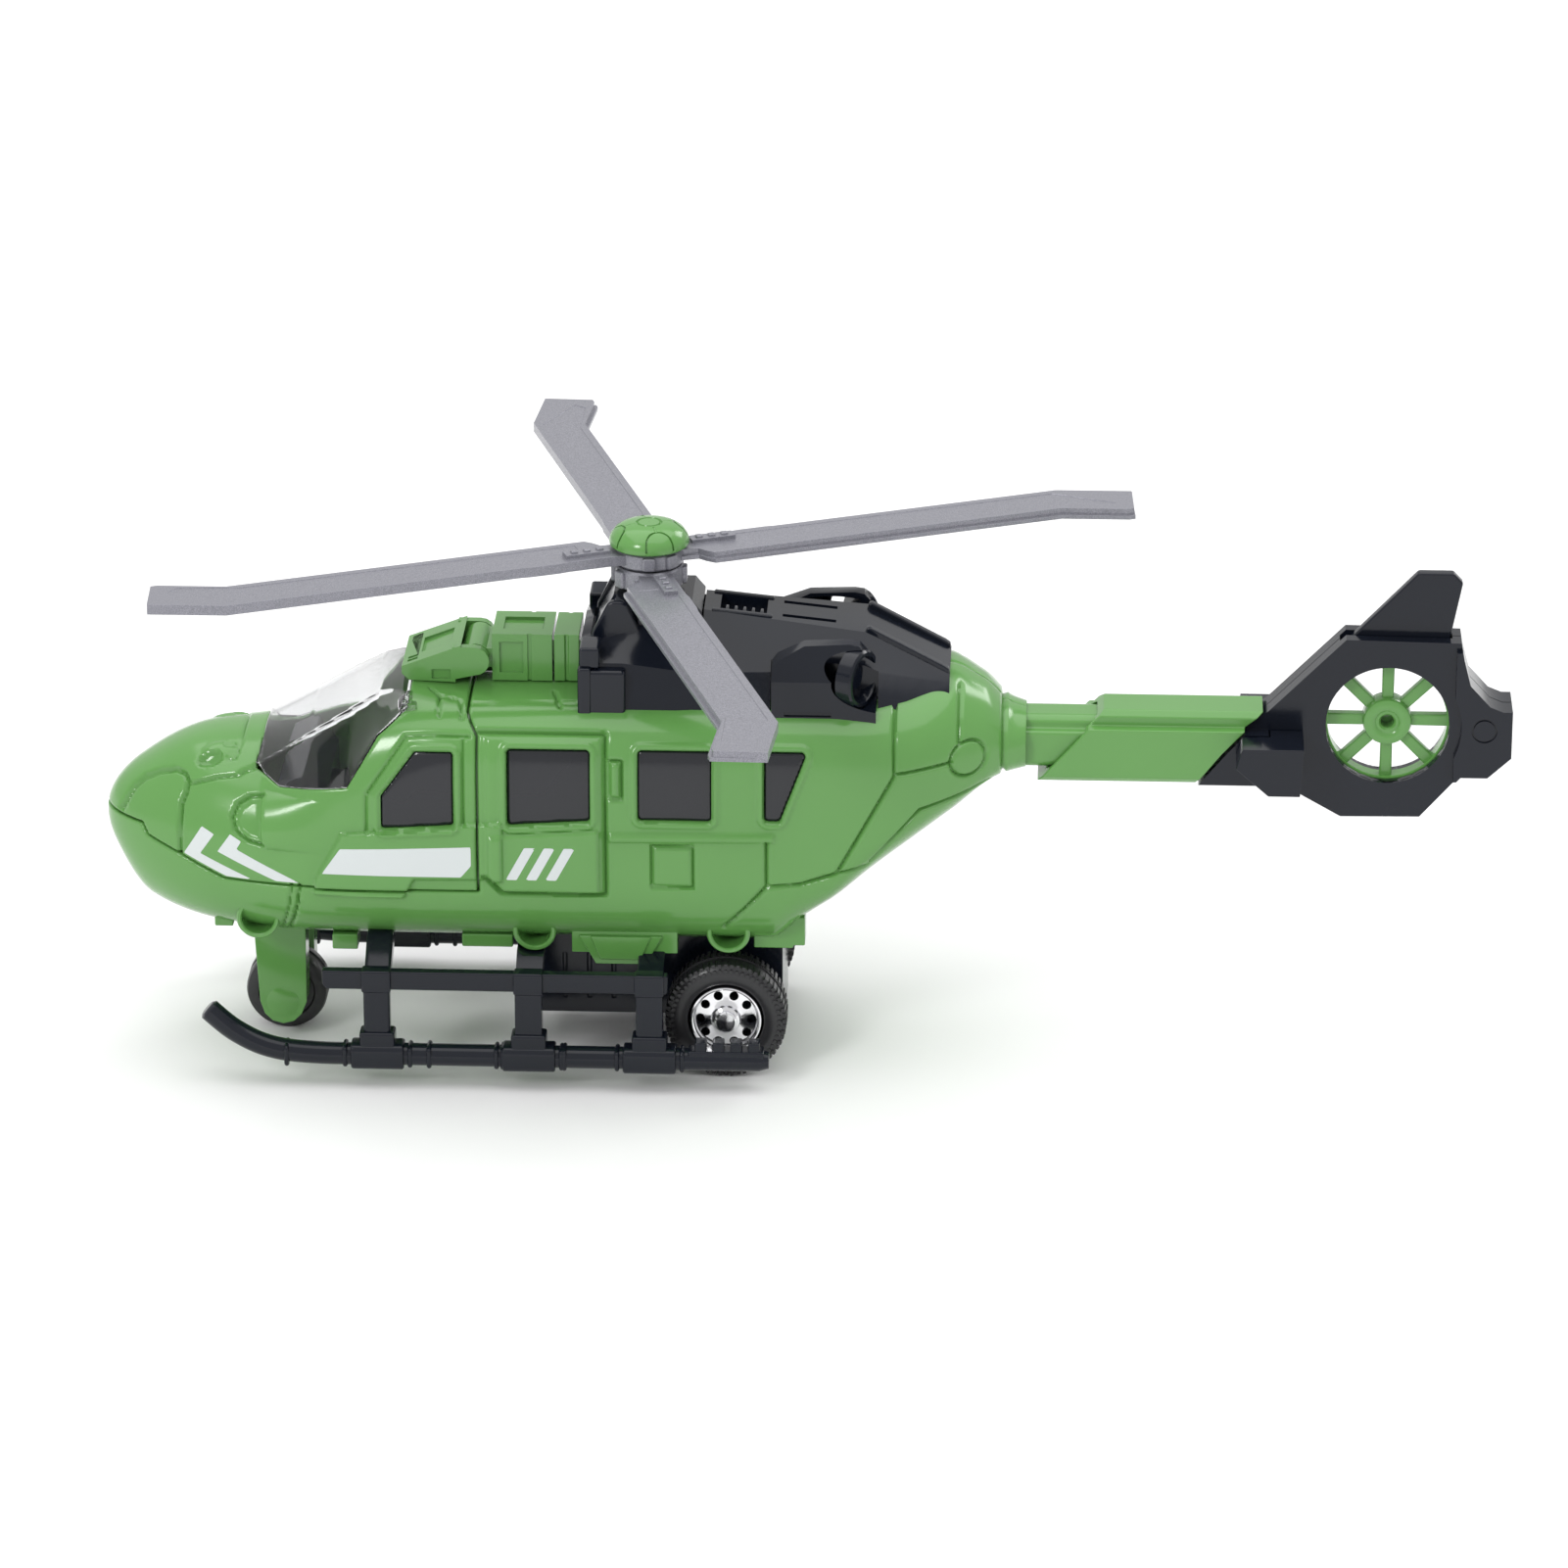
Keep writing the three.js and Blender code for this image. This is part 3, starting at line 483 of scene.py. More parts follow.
def drawn_in(points, distance):
    """A convex outline with every side moved inwards."""
    middle = np.mean(points, axis=0)
    lines = []
    for start, end in zip(points, points[1:] + points[:1]):
        start, end = np.array(start, float), np.array(end, float)
        normal = np.array([end[1] - start[1], start[0] - end[0]])
        normal /= np.linalg.norm(normal)
        if normal @ (middle - start) < 0:
            normal = -normal
        lines.append((normal, normal @ start + distance))
    corners = []
    for (n0, c0), (n1, c1) in zip(lines[-1:] + lines[:-1], lines):
        corners.append(tuple(np.linalg.solve(np.array([n0, n1]), np.array([c0, c1]))))
    return corners


def rounded_distance(x, z, points, radius):
    return shape_distance(x, z, drawn_in(points, radius)) - radius


def ease(value):
    value = np.clip(value, 0, 1)
    return value * value * (3 - 2 * value)


def groove(distance, width, depth):
    """A rounded channel along a line."""
    return -2 * depth * np.where(distance < width / 2, np.cos(np.pi * distance / width) ** 2, 0)


def plateau(distance, height, ramp=0.7):
    """A raised area inside an outline."""
    return height * ease(0.5 - distance / ramp)


# ---- fuselage form

def curve(points):
    """A smooth curve through given points, blunt at the nose."""
    s = np.sqrt(np.maximum(0, np.array([x for x, _ in points], float) - NOSE_X))
    v = np.array([value for _, value in points], float)
    slope = np.diff(v) / np.diff(s)
    before = np.concatenate([slope[:1], slope])
    after = np.concatenate([slope, slope[-1:]])
    product = before * after
    tangent = np.where(product > 0, 2 * product / np.where(before + after == 0, 1, before + after), 0)

    def value_at(x):
        at = np.clip(np.sqrt(np.maximum(0, np.asarray(x, float) - NOSE_X)), s[0], s[-1])
        i = np.clip(np.searchsorted(s, at, "right") - 1, 0, len(slope) - 1)
        span = s[i + 1] - s[i]
        t = (at - s[i]) / span
        return (v[i] * (1 + 2 * t) * (1 - t) ** 2 + v[i + 1] * t * t * (3 - 2 * t)
                + span * t * (1 - t) * (tangent[i] * (1 - t) - tangent[i + 1] * t))
    return value_at


HALF = curve([(NOSE_X, 0), (-137, 11.1), (-126, 18.4), (-118, 21.8), (-108, 24.6), (-98, 26.2),
              (-80, 27), (5, 27), (20, 24.5), (30, 20), (37, 15), (41, 11.5), (COLLAR_X, 9)])
BOTTOM = curve([(NOSE_X, 48), (-140.6, 39.8), (-133.6, 30.4), (-118, 26.3), (-105, 25.5), (-6, 25.5),
                (0, 31), (14.7, 43), (29.9, 54), (39.4, 60.3), (COLLAR_X, 61)])
TOP = curve([(NOSE_X, 48), (-136, 58.8), (-121.5, 65.6), (-109.5, 66.8), (-108, 67.4), (-85.5, 79.5),
             (-83, 79.8), (-66, 79), (10, 79), (20, 80.5), (29, 82.5), (36.5, 79), (42, 74),
             (COLLAR_X, 73)])
WAIST = curve([(NOSE_X, 48), (-137, 46), (-118, 44), (5, 46), (15, 54), (25, 60), (38, 65),
               (COLLAR_X, 66.8)])
UPPER_POWER = curve([(NOSE_X, 2.1), (-108, 2.3), (-95, 3), (-84, 3.6), (-66, 6), (5, 6), (22, 3.2),
                     (35, 2.3), (COLLAR_X, 2.3)])
LOWER_POWER = curve([(NOSE_X, 2.1), (-118, 2.6), (0, 2.6), (COLLAR_X, 2.3)])
STEP = 0.42        # spacing of the hull's points


def section(x, angle):
    """Points of the fuselage skin at a station and an angle round it."""
    c, s = np.cos(angle), np.sin(angle)
    power = np.where(s > 0, UPPER_POWER(x), LOWER_POWER(x))
    reach = (np.abs(c) ** power + np.abs(s) ** power) ** (-1 / power)
    waist = WAIST(x)
    extent = np.where(s > 0, TOP(x) - waist, waist - BOTTOM(x))
    return np.stack([x + 0 * angle, HALF(x) * reach * c, waist + extent * reach * s], -1)


def skin_half(x, z):
    """Half the width of the smooth skin at a height."""
    waist = WAIST(x)
    power = np.where(z > waist, UPPER_POWER(x), LOWER_POWER(x))
    extent = np.where(z > waist, TOP(x) - waist, waist - BOTTOM(x))
    share = np.clip(np.abs(z - waist) / extent, 0, 1)
    return HALF(x) * (1 - share ** power) ** (1 / power)


def skin_angles():
    """Angles round the fuselage: close together down the sides, wider on the roof and the belly."""
    fine = np.linspace(0, 2 * np.pi, 20001)
    ring = section(np.full_like(fine, -60.0), fine)[:, 1:]
    step = np.linalg.norm(np.diff(ring, axis=0), axis=1)
    on_side = np.abs(ring[:-1, 0]) > 22
    weight = np.cumsum(step * np.where(on_side, 1 / STEP, 1 / (2 * STEP)))
    count = int(weight[-1])
    return np.interp(np.linspace(0, weight[-1], count, endpoint=False), weight, fine[1:])


def skin_grid():
    """Points and outward directions of the whole smooth skin, closed at both ends."""
    nose = NOSE_X + np.linspace(0.02, math.sqrt(7), int(9 / STEP)) ** 2
    stations = np.concatenate([nose, np.arange(nose[-1] + STEP, COLLAR_X, STEP), [COLLAR_X]])
    angles = skin_angles()
    x, angle = np.meshgrid(stations, angles, indexing="ij")
    points = section(x, angle)
    ahead = section(np.minimum(x + 0.05, COLLAR_X), angle) - section(np.minimum(x, COLLAR_X - 0.05), angle)
    round_it = section(x, angle + 0.003) - section(x, angle - 0.003)
    normals = np.cross(round_it, ahead)
    normals /= np.maximum(np.linalg.norm(normals, axis=-1, keepdims=True), 1e-12)
    tip = np.tile(np.array([NOSE_X, 0, 48.0]), (1, len(angles), 1))
    points = np.concatenate([tip, points])
    normals = np.concatenate([np.tile(np.array([-1.0, 0, 0]), (1, len(angles), 1)), normals])
    return points, normals


# ---- lines and panels on the hull

# Outlines in X and Z, on both sides of the hull.
COCKPIT = [(-160, 130), (-160, 49.7), (-134.6, 49.4), (-133.4, 47.2), (-126.3, 44.9), (-121.5, 43),
           (-117, SEAM_Z), (-64.9, SEAM_Z), (-64.9, 74.4), (-67, 78), (-67, 130)]
GLASS = [(-110, 100), (-110, 66.4), (-110.9, 63), (-105.5, 60.8), (-91.3, 62.7), (-85.1, 73),
         (-79.2, 78), (-80.4, 100)]
DOOR_WINDOW = [(-84.4, 54.6), (-69.7, 55.6), (-69.7, 71.2), (-77.6, 71), (-84.4, 61.6)]
CABIN_WINDOWS = [
    [(-58.9, 55.8), (-42.1, 57), (-42.1, 72.1), (-58.9, 72.1)],
    [(-32.6, 57.3), (-17.7, 57.3), (-17.7, 72.2), (-32.6, 72.2)],
    [(-7.2, 57.5), (-4, 57.5), (1.5, 72.3), (-7.2, 72.3)],
]
DOOR_PLATE = [(-92.4, 53.3), (-60, 56.6), (-60, 44.3), (-77.9, 44), (-80, 40), (-98.3, 40), (-97.4, 44.4)]
CABIN_DOOR = [(-63, 74), (-40.2, 74), (-40.2, 41.5), (-59.8, 41.5), (-63, 45.3)]
CABIN_PLATE = [(-62.6, 53.8), (-40.6, 55.3), (-40.6, 41.9), (-59.6, 41.9), (-62.6, 45.5)]
BELT = [(-38.4, 52.8), (-5, 53.2), (-5, 54.8), (-38.4, 54.4)]
HANDLE = [(-38.4, 62), (-35.8, 62), (-35.8, 70), (-38.4, 70)]
HATCH = [(-29.7, 43), (-21.5, 43), (-21.5, 51.9), (-29.7, 51.9)]
HEADLIGHT = [(-108.5, 58.8), (-111.5, 58.4), (-113.9, 56.9), (-115.1, 54.3), (-114.3, 51.7),
             (-111.8, 50.1), (-108.4, 49.5)]
CHEVRONS = [
    [(-121.5, 51.6), (-118.9, 50.4), (-121.9, 46), (-111, 41.9), (-116.4, 41.9), (-125.4, 45.4)],
    [(-115.5, 50.9), (-113.2, 49.7), (-114.2, 48), (-101.2, 42.1), (-106.1, 42.1), (-118.2, 47)],
]
NAME_PLATE = [(-92.6, 50.4), (-66.2, 51.5), (-66.2, 47.4), (-68.3, 44.9), (-96.4, 44.9)]
STRIPES = [[(x, 51.6), (x + 2.2, 51.6), (x - 1.6, 44.6), (x - 3.8, 44.6)] for x in (-55.4, -51.4, -47.4)]

# (points, width, depth) of the moulded lines on the sides.
SIDE_LINES = [
    ([(-139.3, 50.5), (-138.2, 52.8), (-136.7, 55.2), (-134.2, 57.6), (-131.1, 59.3), (-127.5, 60.5),
      (-125.4, 60.3), (-124.6, 59.2), (-124.9, 57.5), (-125.9, 55), (-126.2, 49.7), (-126.3, 45)], 1.3, 0.5),
    ([(-124.4, 58.8), (-118.7, 60.6), (-114.3, 61.4), (-112.6, 62.2), (-110.7, 62.9)], 1.1, 0.35),
    ([(-87.3, 53.9), (-87.2, 61.8), (-79.3, 73.6), (-74.3, 74.2), (-66.4, 74.2)], 1.1, 0.35),
    ([(-67.7, 74), (-67.7, 56)], 1.0, 0.3),
    ([(-64.5, 75.1), (-39.1, 75.1), (-39.1, 41), (-60.2, 41), (-63.6, 44.9)], 1.3, 0.6),
    ([(-6.7, 53), (-6.7, 43.4), (-13.4, 35.4), (-15.5, 33)], 1.2, 0.5),
    ([(-6.7, 43.4), (0.2, 44.1), (7.5, 46.6), (18.9, 66.8), (18.7, 79)], 1.2, 0.5),
    ([(18.9, 67.2), (30, 68.1)], 1.1, 0.45),
    ([(7.5, 46.6), (13.5, 47.6)], 1.1, 0.45),
    ([(14.3, 48.6), (24, 59.2), (31, 60.6), (37.5, 62)], 1.1, 0.45),
    ([(31.8, 71.8), (31.7, 80.5)], 1.1, 0.45),
    ([(40.6, 55), (40.6, 80)], 1.1, 0.5),
    ([(-101.2, 41.6), (-101.9, 36.4), (-102.9, 32.8), (-104.4, 28)], 1.0, 0.45),
    ([(-102.8, 41.6), (-103.5, 36.4), (-104.5, 32.8), (-106, 28)], 0.9, 0.3),
]
# The same on the roof and the bonnet, in X and the distance from the middle.
ROOF_LINES = [
    ([(-67, 17.3), (-45.3, 16.8)], 1.0, 0.35),
    ([(-50, 11.5), (-48.6, 18.3)], 1.3, 0.4),
    ([(-75.3, 11.4), (-73.1, 14.9), (-72.8, 21.3)], 1.0, 0.35),
    ([(-73.1, 14.9), (-68.7, 16.4), (-68.2, 22)], 1.0, 0.35),
    ([(-114.2, 0), (-114.5, 9), (-115.1, 12.2), (-117, 12.4)], 0.9, 0.25),
]


def side_relief(x, y, z):
    """Height of the mouldings above the smooth skin, in millimetres."""
    height = np.zeros(x.shape)
    for points, width, depth in SIDE_LINES:
        height = np.minimum(height, groove(line_distance(x, z, points), width, depth))
    across = np.abs(y)
    on_top = ease((z - 60) / 3) * ease((26 - across) / 4)
    for points, width, depth in ROOF_LINES:
        height = height + on_top * groove(line_distance(x, across, points), width, depth)
    round_line = np.abs(np.hypot(x - 33.6, z - 68.2) - 3.5)
    height = height + groove(round_line, 1.1, 0.45)
    for outline, rise in ((DOOR_PLATE, 1.1), (CABIN_DOOR, 0.45), (CABIN_PLATE, 0.75)):
        height = height + plateau(shape_distance(x, z, outline), rise, 0.5)
    height = height + plateau(rounded_distance(x, z, BELT, 0.3), 0.7, 0.6)
    for outline, depth in ((HATCH, 0.45), (HANDLE, 0.5)):
        height = height + groove(line_distance(x, z, outline, True), 1.1, depth)
    height = height + plateau(shape_distance(x, z, drawn_in(HANDLE, 0.8)), 0.3, 0.4)
    for window in CABIN_WINDOWS:
        rim = np.abs(rounded_distance(x, z, window, 0.9) - 0.75)
        height = height + plateau(rim - 0.55, 0.6, 0.5)
    door_rim = np.abs(rounded_distance(x, z, DOOR_WINDOW, 0.7) - 0.9)
    height = height + plateau(door_rim - 0.5, 0.55, 0.5)
    return height + headlight_relief(x, z) + bonnet_relief(x, y, z)


def headlight_relief(x, z):
    """A lens in a round socket, and the fairing that swells out behind it."""
    outline = HEADLIGHT + [(-108.5, 54)]
    lens = shape_distance(x, z, outline)
    socket = groove(line_distance(x, z, HEADLIGHT), 1.2, 0.45) - plateau(lens + 0.8, 0.5, 1.2)
    across = np.clip(1 - ((z - 54.2) / 5.4) ** 2, 0, 1)
    fade = ease((-94 - x) / 14.5) * ease((x + 109) / 0.7)
    return socket + 1.7 * np.sqrt(across) * fade


def bonnet_relief(x, y, z):
    """A low hump with two hollows on each side of the bonnet."""
    height = np.zeros(x.shape)
    on_top = ease((z - 58) / 2)
    for side in (-1, 1):
        hump = np.clip(1 - ((x + 118.8) / 3.4) ** 2 - ((y - side * 9.4) / 2.4) ** 2, 0, 1)
        dish = np.clip(1 - ((x + 120.4) / 2.7) ** 2 - ((y - side * 11.3) / 1.7) ** 2, 0, 1)
        small = np.clip(1 - ((x + 116.4) / 1.6) ** 2 - ((y - side * 8.6) / 0.9) ** 2, 0, 1)
        height = height + on_top * (0.5 * np.sqrt(hump) - 1.5 * np.sqrt(dish) - 0.6 * np.sqrt(small))
    return height


# ---- shells cut from the skin

SKIN, SKIN_OUT = skin_grid()
SKIN_X, SKIN_Y, SKIN_Z = SKIN[..., 0], SKIN[..., 1], SKIN[..., 2]
RELIEF = side_relief(SKIN_X, SKIN_Y, SKIN_Z)
FACE = SKIN + SKIN_OUT * RELIEF[..., None]


def grid_triangles(rows, columns):
    """Triangles over a grid of points whose columns close into a ring."""
    here = np.arange(rows * columns).reshape(rows, columns)
    right = np.roll(here, -1, axis=1)
    a, b = here[:-1].ravel(), right[:-1].ravel()
    c, d = right[1:].ravel(), here[1:].ravel()
    return np.concatenate([np.stack([a, b, c], 1), np.stack([a, c, d], 1)])


def cut_shell(outer, inner, keep):
    """A closed shell between two grids of points, where keep is above zero."""
    triangles = grid_triangles(*keep.shape)
    value = keep.ravel()
    outer, inner = outer.reshape(-1, 3), inner.reshape(-1, 3)
    kept = value > 0
    inside_count = kept[triangles].sum(1)
    faces = triangles[inside_count == 3].tolist()
    extra_outer, extra_inner, crossings = [], [], {}

    def crossing(a, b):
        key = (min(a, b), max(a, b))
        if key not in crossings:
            share = value[a] / (value[a] - value[b])
            crossings[key] = len(value) + len(extra_outer)
            extra_outer.append(outer[a] + (outer[b] - outer[a]) * share)
            extra_inner.append(inner[a] + (inner[b] - inner[a]) * share)
        return crossings[key]

    for triangle in triangles[(inside_count == 1) | (inside_count == 2)].tolist():
        ring = []
        for a, b in zip(triangle, triangle[1:] + triangle[:1]):
            if kept[a]:
                ring.append(a)
            if kept[a] != kept[b]:
                ring.append(crossing(a, b))
        faces.append(ring)
    if extra_outer:
        outer = np.concatenate([outer, extra_outer])
        inner = np.concatenate([inner, extra_inner])
    edges = {}
    for face in faces:
        for a, b in zip(face, face[1:] + face[:1]):
            edges[(a, b)] = edges.get((a, b), 0) + 1
    rim = [(a, b) for a, b in edges if (b, a) not in edges]
    used = sorted({i for face in faces for i in face})
    index = {old: new for new, old in enumerate(used)}
    count = len(used)
    front = [[index[i] for i in face] for face in faces]
    back = [[index[i] + count for i in reversed(face)] for face in faces]
    walls = [[index[b], index[a], index[a] + count, index[b] + count] for a, b in rim]
    made = object_from(np.concatenate([outer[used], inner[used]]), front + back + walls)
    made.vertex_groups.new(name="back").add(list(range(count, 2 * count)), 1.0, "REPLACE")
    return thinned(clean(made)) if count > THIN_ABOVE else clean(made)


def thinned(made):
    """Takes points out of the back of a large shell, where they aren't seen."""
    fewer = made.modifiers.new("fewer", "DECIMATE")
    fewer.ratio = 0.55
    fewer.vertex_group = "back"
    fewer.vertex_group_factor = 1000
    return settle(made)


def rolled(keep, radius):
    """How far the skin drops towards a cut edge, so that the edge is rounded."""
    near = np.clip(radius - keep, 0, radius)
    return radius - np.sqrt(np.maximum(radius ** 2 - near ** 2, 0))


def skin_piece(keep, top=0.0, thick=WALL, edge=0.45, face=None, base=SKIN):
    """A shell of the fuselage skin. top lifts it off the skin; edge rounds what is cut."""
    face = FACE if face is None else face
    outer = face + SKIN_OUT * (top - rolled(keep, edge))[..., None]
    inner = base + SKIN_OUT * (top - thick)
    return shade_smooth(cut_shell(outer, inner, keep), 60)


def boss(place, well):
    """The round boss of a body screw, with its well on the left side only."""
    x, z = place
    mouth_y = float(skin_half(x, z)) + 0.8
    end = [(2.2, -9), (2.2, -8.2), (0.6, -8.2)] if well else [(0.6, 1 - mouth_y)]
    mouth = [(4.4, -10), (4.4, 0.4 - mouth_y), (4.1, -mouth_y), (3.6, -mouth_y), (3.35, 0.3 - mouth_y),
             (3.35, -9)]
    if not well:
        mouth = [(4.4, -10), (4.4, 0.4 - mouth_y), (4, -mouth_y), (2.6, -mouth_y), (2.2, 0.4 - mouth_y),
                 (0.6, 0.5 - mouth_y)]
    return shade_smooth(turned([*mouth, *end, (0.6, -7), (4.4, -7)], (x, z)), 30)


def bracket():
    """A green bracket under the belly, with a raised middle."""
    plate = box((-46.5, -25), (-21.4, -15), (26, 31))
    outer = prism([(-45, 30), (-41.6, 23.8), (-31.4, 23.8), (-28, 30)], -22.1, -15)
    middle = prism([(-42.6, 30), (-40.6, 25), (-32.4, 25), (-30.4, 30)], -22.6, -16)
    return smooth_edges(union(plate, outer, middle), 0.3)


def pads():
    """The four small pads under the belly: the rear one, in two steps, then front, middle and nose."""
    low = box((-9.6, -1.6), (-19, -13), (26.6, 32))
    high = box((-1.8, 0.8), (-19, -13), (27.2, 33.5))
    front = block((-95.6, -90.4), (-19, -13), (24.7, 28), 0.3)
    middle = block((-69, -58.6), (-20, -13), (26.2, 29), 0.3)
    nose = block((-120.2, -116.4), (-14, -8), (27.2, 30), 0.3)
    return joined(smooth_edges(union(low, high), 0.3), front, middle, nose)


def make_hull():
    outside = shape_distance(SKIN_X, SKIN_Z, COCKPIT) - SEAM_GAP
    windows = np.min([rounded_distance(SKIN_X, SKIN_Z, window, 0.9) for window in CABIN_WINDOWS], axis=0)
    for side, label in SIDES:
        half = side * SKIN_Y - 0.06
        keep = np.minimum(np.minimum(outside, half), windows)
        shell = skin_piece(keep, edge=0.35)
        # A ring and a sill behind the gap round the cockpit keep light from showing through it.
        ring = np.minimum(np.minimum(4 - np.abs(SKIN_X + 65), SKIN_Z - 40), half)
        sill = np.minimum(np.minimum(1.6 - np.abs(SKIN_Z - SEAM_Z), half), -60 - SKIN_X)
        backing = [skin_piece(field, top=-2, thick=0.7, edge=0.1, face=SKIN) for field in (ring, sill)]
        extras = [boss(place, side < 0) for place in SCREWS] + [bracket(), pads()]
        if side > 0:
            extras = [moved_side(extra) for extra in extras]
        piece(joined(shell, *backing, *extras), "hull_%s_shell" % label, GREEN, "hull_" + label)
        make_cabin_windows(side, label)
    for place, label in zip(SCREWS, ("front", "middle", "rear")):
        piece(cross_screw(place), "body_screw_" + label, STEEL, "hull_screw_" + label)


def moved_side(made):
    """The object mirrored to the other side, and its original dropped."""
    copy = flipped(made)
    drop(made)
    return copy


def pane(inside, side, drop):
    """A dark pane set below the skin by drop, with a bevelled edge, on one side of the hull."""
    keep = np.minimum(inside - PANE_GAP, side * SKIN_Y - 0.1)
    return skin_piece(keep, top=-drop, thick=1.0, edge=0.3, face=SKIN)


def make_cabin_windows(side, label):
    panes = [pane(-rounded_distance(SKIN_X, SKIN_Z, window, 0.9), side, 0.55)
             for window in CABIN_WINDOWS]
    piece(joined(*panes), "cabin_panes_" + label, TINTED, "cabin_windows_" + label)


def cross_screw(place):
    """A round-headed screw with a cross in its head."""
    x, z = place
    radius, high, shank, low = 2.8, -9.3, 1.0, 6.0
    profile = [(0.05, high - 1.4), (radius * 0.7, high - 1.2), (radius, high - 0.4), (radius, high),
               (shank, high + 0.2), (shank, low), (0.05, low + 0.4)]
    head = turned(profile, (x, z))
    for turn in (45, 135):
        slot = box((x - 1.9, x + 1.9), (high - 3, high - 0.7), (z - 0.4, z + 0.4))
        head = carve(head, spun(slot, turn, (x, 0, z), "Y"))
    return shade_smooth(head, 35)


def make_cockpit():
    inside = -shape_distance(SKIN_X, SKIN_Z, COCKPIT) - SEAM_GAP
    glass = shape_distance(SKIN_X, SKIN_Z, GLASS)
    door = rounded_distance(SKIN_X, SKIN_Z, DOOR_WINDOW, 0.7)
    keep = np.minimum(np.minimum(inside, glass), door)
    piece(skin_piece(keep, edge=0.35), "cockpit_shell_skin", GREEN, "cockpit_shell")
    for side, label in SIDES:
        piece(pane(-door, side, 0.5), "door_pane_" + label, TINTED, "door_window_" + label)
    flat = folded_glass()
    parts = [skin_piece(-glass - PANE_GAP, thick=1.0, edge=0.25, face=flat, base=flat)]
    for side in (-1, 1):
        clip = box((-80.6, -77.4), (side * 17.9 - 1.6, side * 17.9 + 1.6), (75.5, 78.6))
        stem = box((-80, -78.6), (side * 14.8 - 1.8, side * 14.8 + 1.8), (77.4, 79.4))
        parts += [smooth_edges(clip, 0.35), smooth_edges(stem, 0.35)]
    piece(joined(*parts), "windshield_glass", CLEAR, "windshield")
    make_marks()


def folded_glass():
    """The skin flattened into a top pane and two side panes that meet in a ridge."""
    x, z = SKIN_X, SKIN_Z
    across = np.abs(SKIN_Y)
    fold_y = np.interp(x, [-111, -92, -85.1, -79], [15.4, 13.6, 11.8, 11.8])
    fold_z = np.interp(x, [-111, -86, -83, -79], [63.4, 78.2, 78.9, 79])
    crown = np.interp(x, [-111, -100, -85, -79], [3.4, 1.6, 1.0, 0.7])
    edge_z = np.interp(x, [-110.9, -105.5, -91.3, -85.1, -79.2], [63, 60.8, 62.7, 73, 78])
    edge_y = np.maximum(skin_half(x, edge_z), fold_y + 1)
    share = (across - fold_y) / (edge_y - fold_y)
    side_z = fold_z + (edge_z - fold_z) * share
    top_z = fold_z + crown * (1 - (across / fold_y) ** 2)
    flat_z = np.where(across > fold_y, side_z, top_z)
    near_glass = (x > -112) & (x < -78) & (z > edge_z - 1) & (share < 1.05)
    flat = SKIN.copy()
    flat[..., 2] = np.where(near_glass, flat_z, z)
    return flat


def make_marks():
    """Thin white printed shapes: two chevrons, a blank plate on the door and three slanted bars."""
    marks = [(outline, "cockpit") for outline in (*CHEVRONS, NAME_PLATE)]
    marks += [(bar, "airframe") for bar in STRIPES]
    outer = FACE + SKIN_OUT * PRINT_HEIGHT
    inner = FACE - SKIN_OUT * PRINT_DEPTH
    for index, (outline, body) in enumerate(marks, 1):
        for side, label in SIDES:
            keep = np.minimum(-shape_distance(SKIN_X, SKIN_Z, outline), side * SKIN_Y - 5)
            if body == "cockpit":
                keep = np.minimum(keep, -shape_distance(SKIN_X, SKIN_Z, COCKPIT) - 0.5)
            mark = shade_smooth(cut_shell(outer, inner, keep))
            piece(mark, "mark_%d_%s" % (index, label), INK, body=body)


# ---- roof and hinge

def roof_cuts(x, half, z):
    """Two blocks to cut along the roof, one on each side of the middle."""
    return [box(x, (side * 6.6 - half, side * 6.6 + half), z) for side in (-1, 1)]


def make_roof():
    def intake(made):
        slots = [box((-80.2, -78.2), (y - 0.55, y + 0.55), (82.2, 84.4)) for y in (-6.6, -5, 5, 6.6)]
        step = [(-75.2, 80.2), (-71.4, 80.2), (-71.4, 82.2), (-75.2, 82.2)]
        return carve(made, *slots, *[prism(step, *span(side, 8, 9.5)) for side in (-1, 1)])

    def front_link(made):
        recess = roof_cuts((-61.6, -56.8), 0.7, (81, 87.6))
        lines = roof_cuts((-55.9, -55.1), 0.4, (78, 90))
        return carve(made, *recess, *lines, box((-61, -53), (-3.4, 3.4), (88.6, 90)))

    def rear_link(made):
        return carve(made, *roof_cuts((-48.3, -47.6), 0.4, (78, 90)))

    refined("roof_intake", GREEN, 0.45, intake)
    refined("roof_link_front", GREEN, 0.6, front_link)
    refined("roof_link_rear", GREEN, 0.6, rear_link)
    refined("cockpit_hinge_pin", STEEL, 0.3)
    refined("cockpit_interior", BLACK, 0.4)


# ---- engine cowl, pods and mast

# Rows of X, then half width and height at the base, the shoulder and the deck.
COWL = [
    (-44.8, 19.5, 76, 17.2, 87.5, 7, 89.5),
    (-36, 19.5, 76, 17.2, 87.5, 7, 92),
    (-22.5, 19.5, 76, 16.5, 85.5, 5.4, 95.2),
    (12.5, 19, 76, 14.5, 85.5, 8, 91.5),
    (29.5, 12.5, 79.5, 10.5, 81.8, 7, 82.9),
]


def loft(stations):
    """A closed solid through rings of points in X, Y and Z."""
    count = len(stations[0])
    vertices = [point for ring in stations for point in ring]
    faces = [list(range(count)), list(range(len(vertices) - count, len(vertices)))]
    for i in range(len(stations) - 1):
        for j in range(count):
            k = (j + 1) % count
            a, b = i * count + j, i * count + k
            faces.append((a, b, b + count, a + count))
    return clean(object_from(vertices, faces))


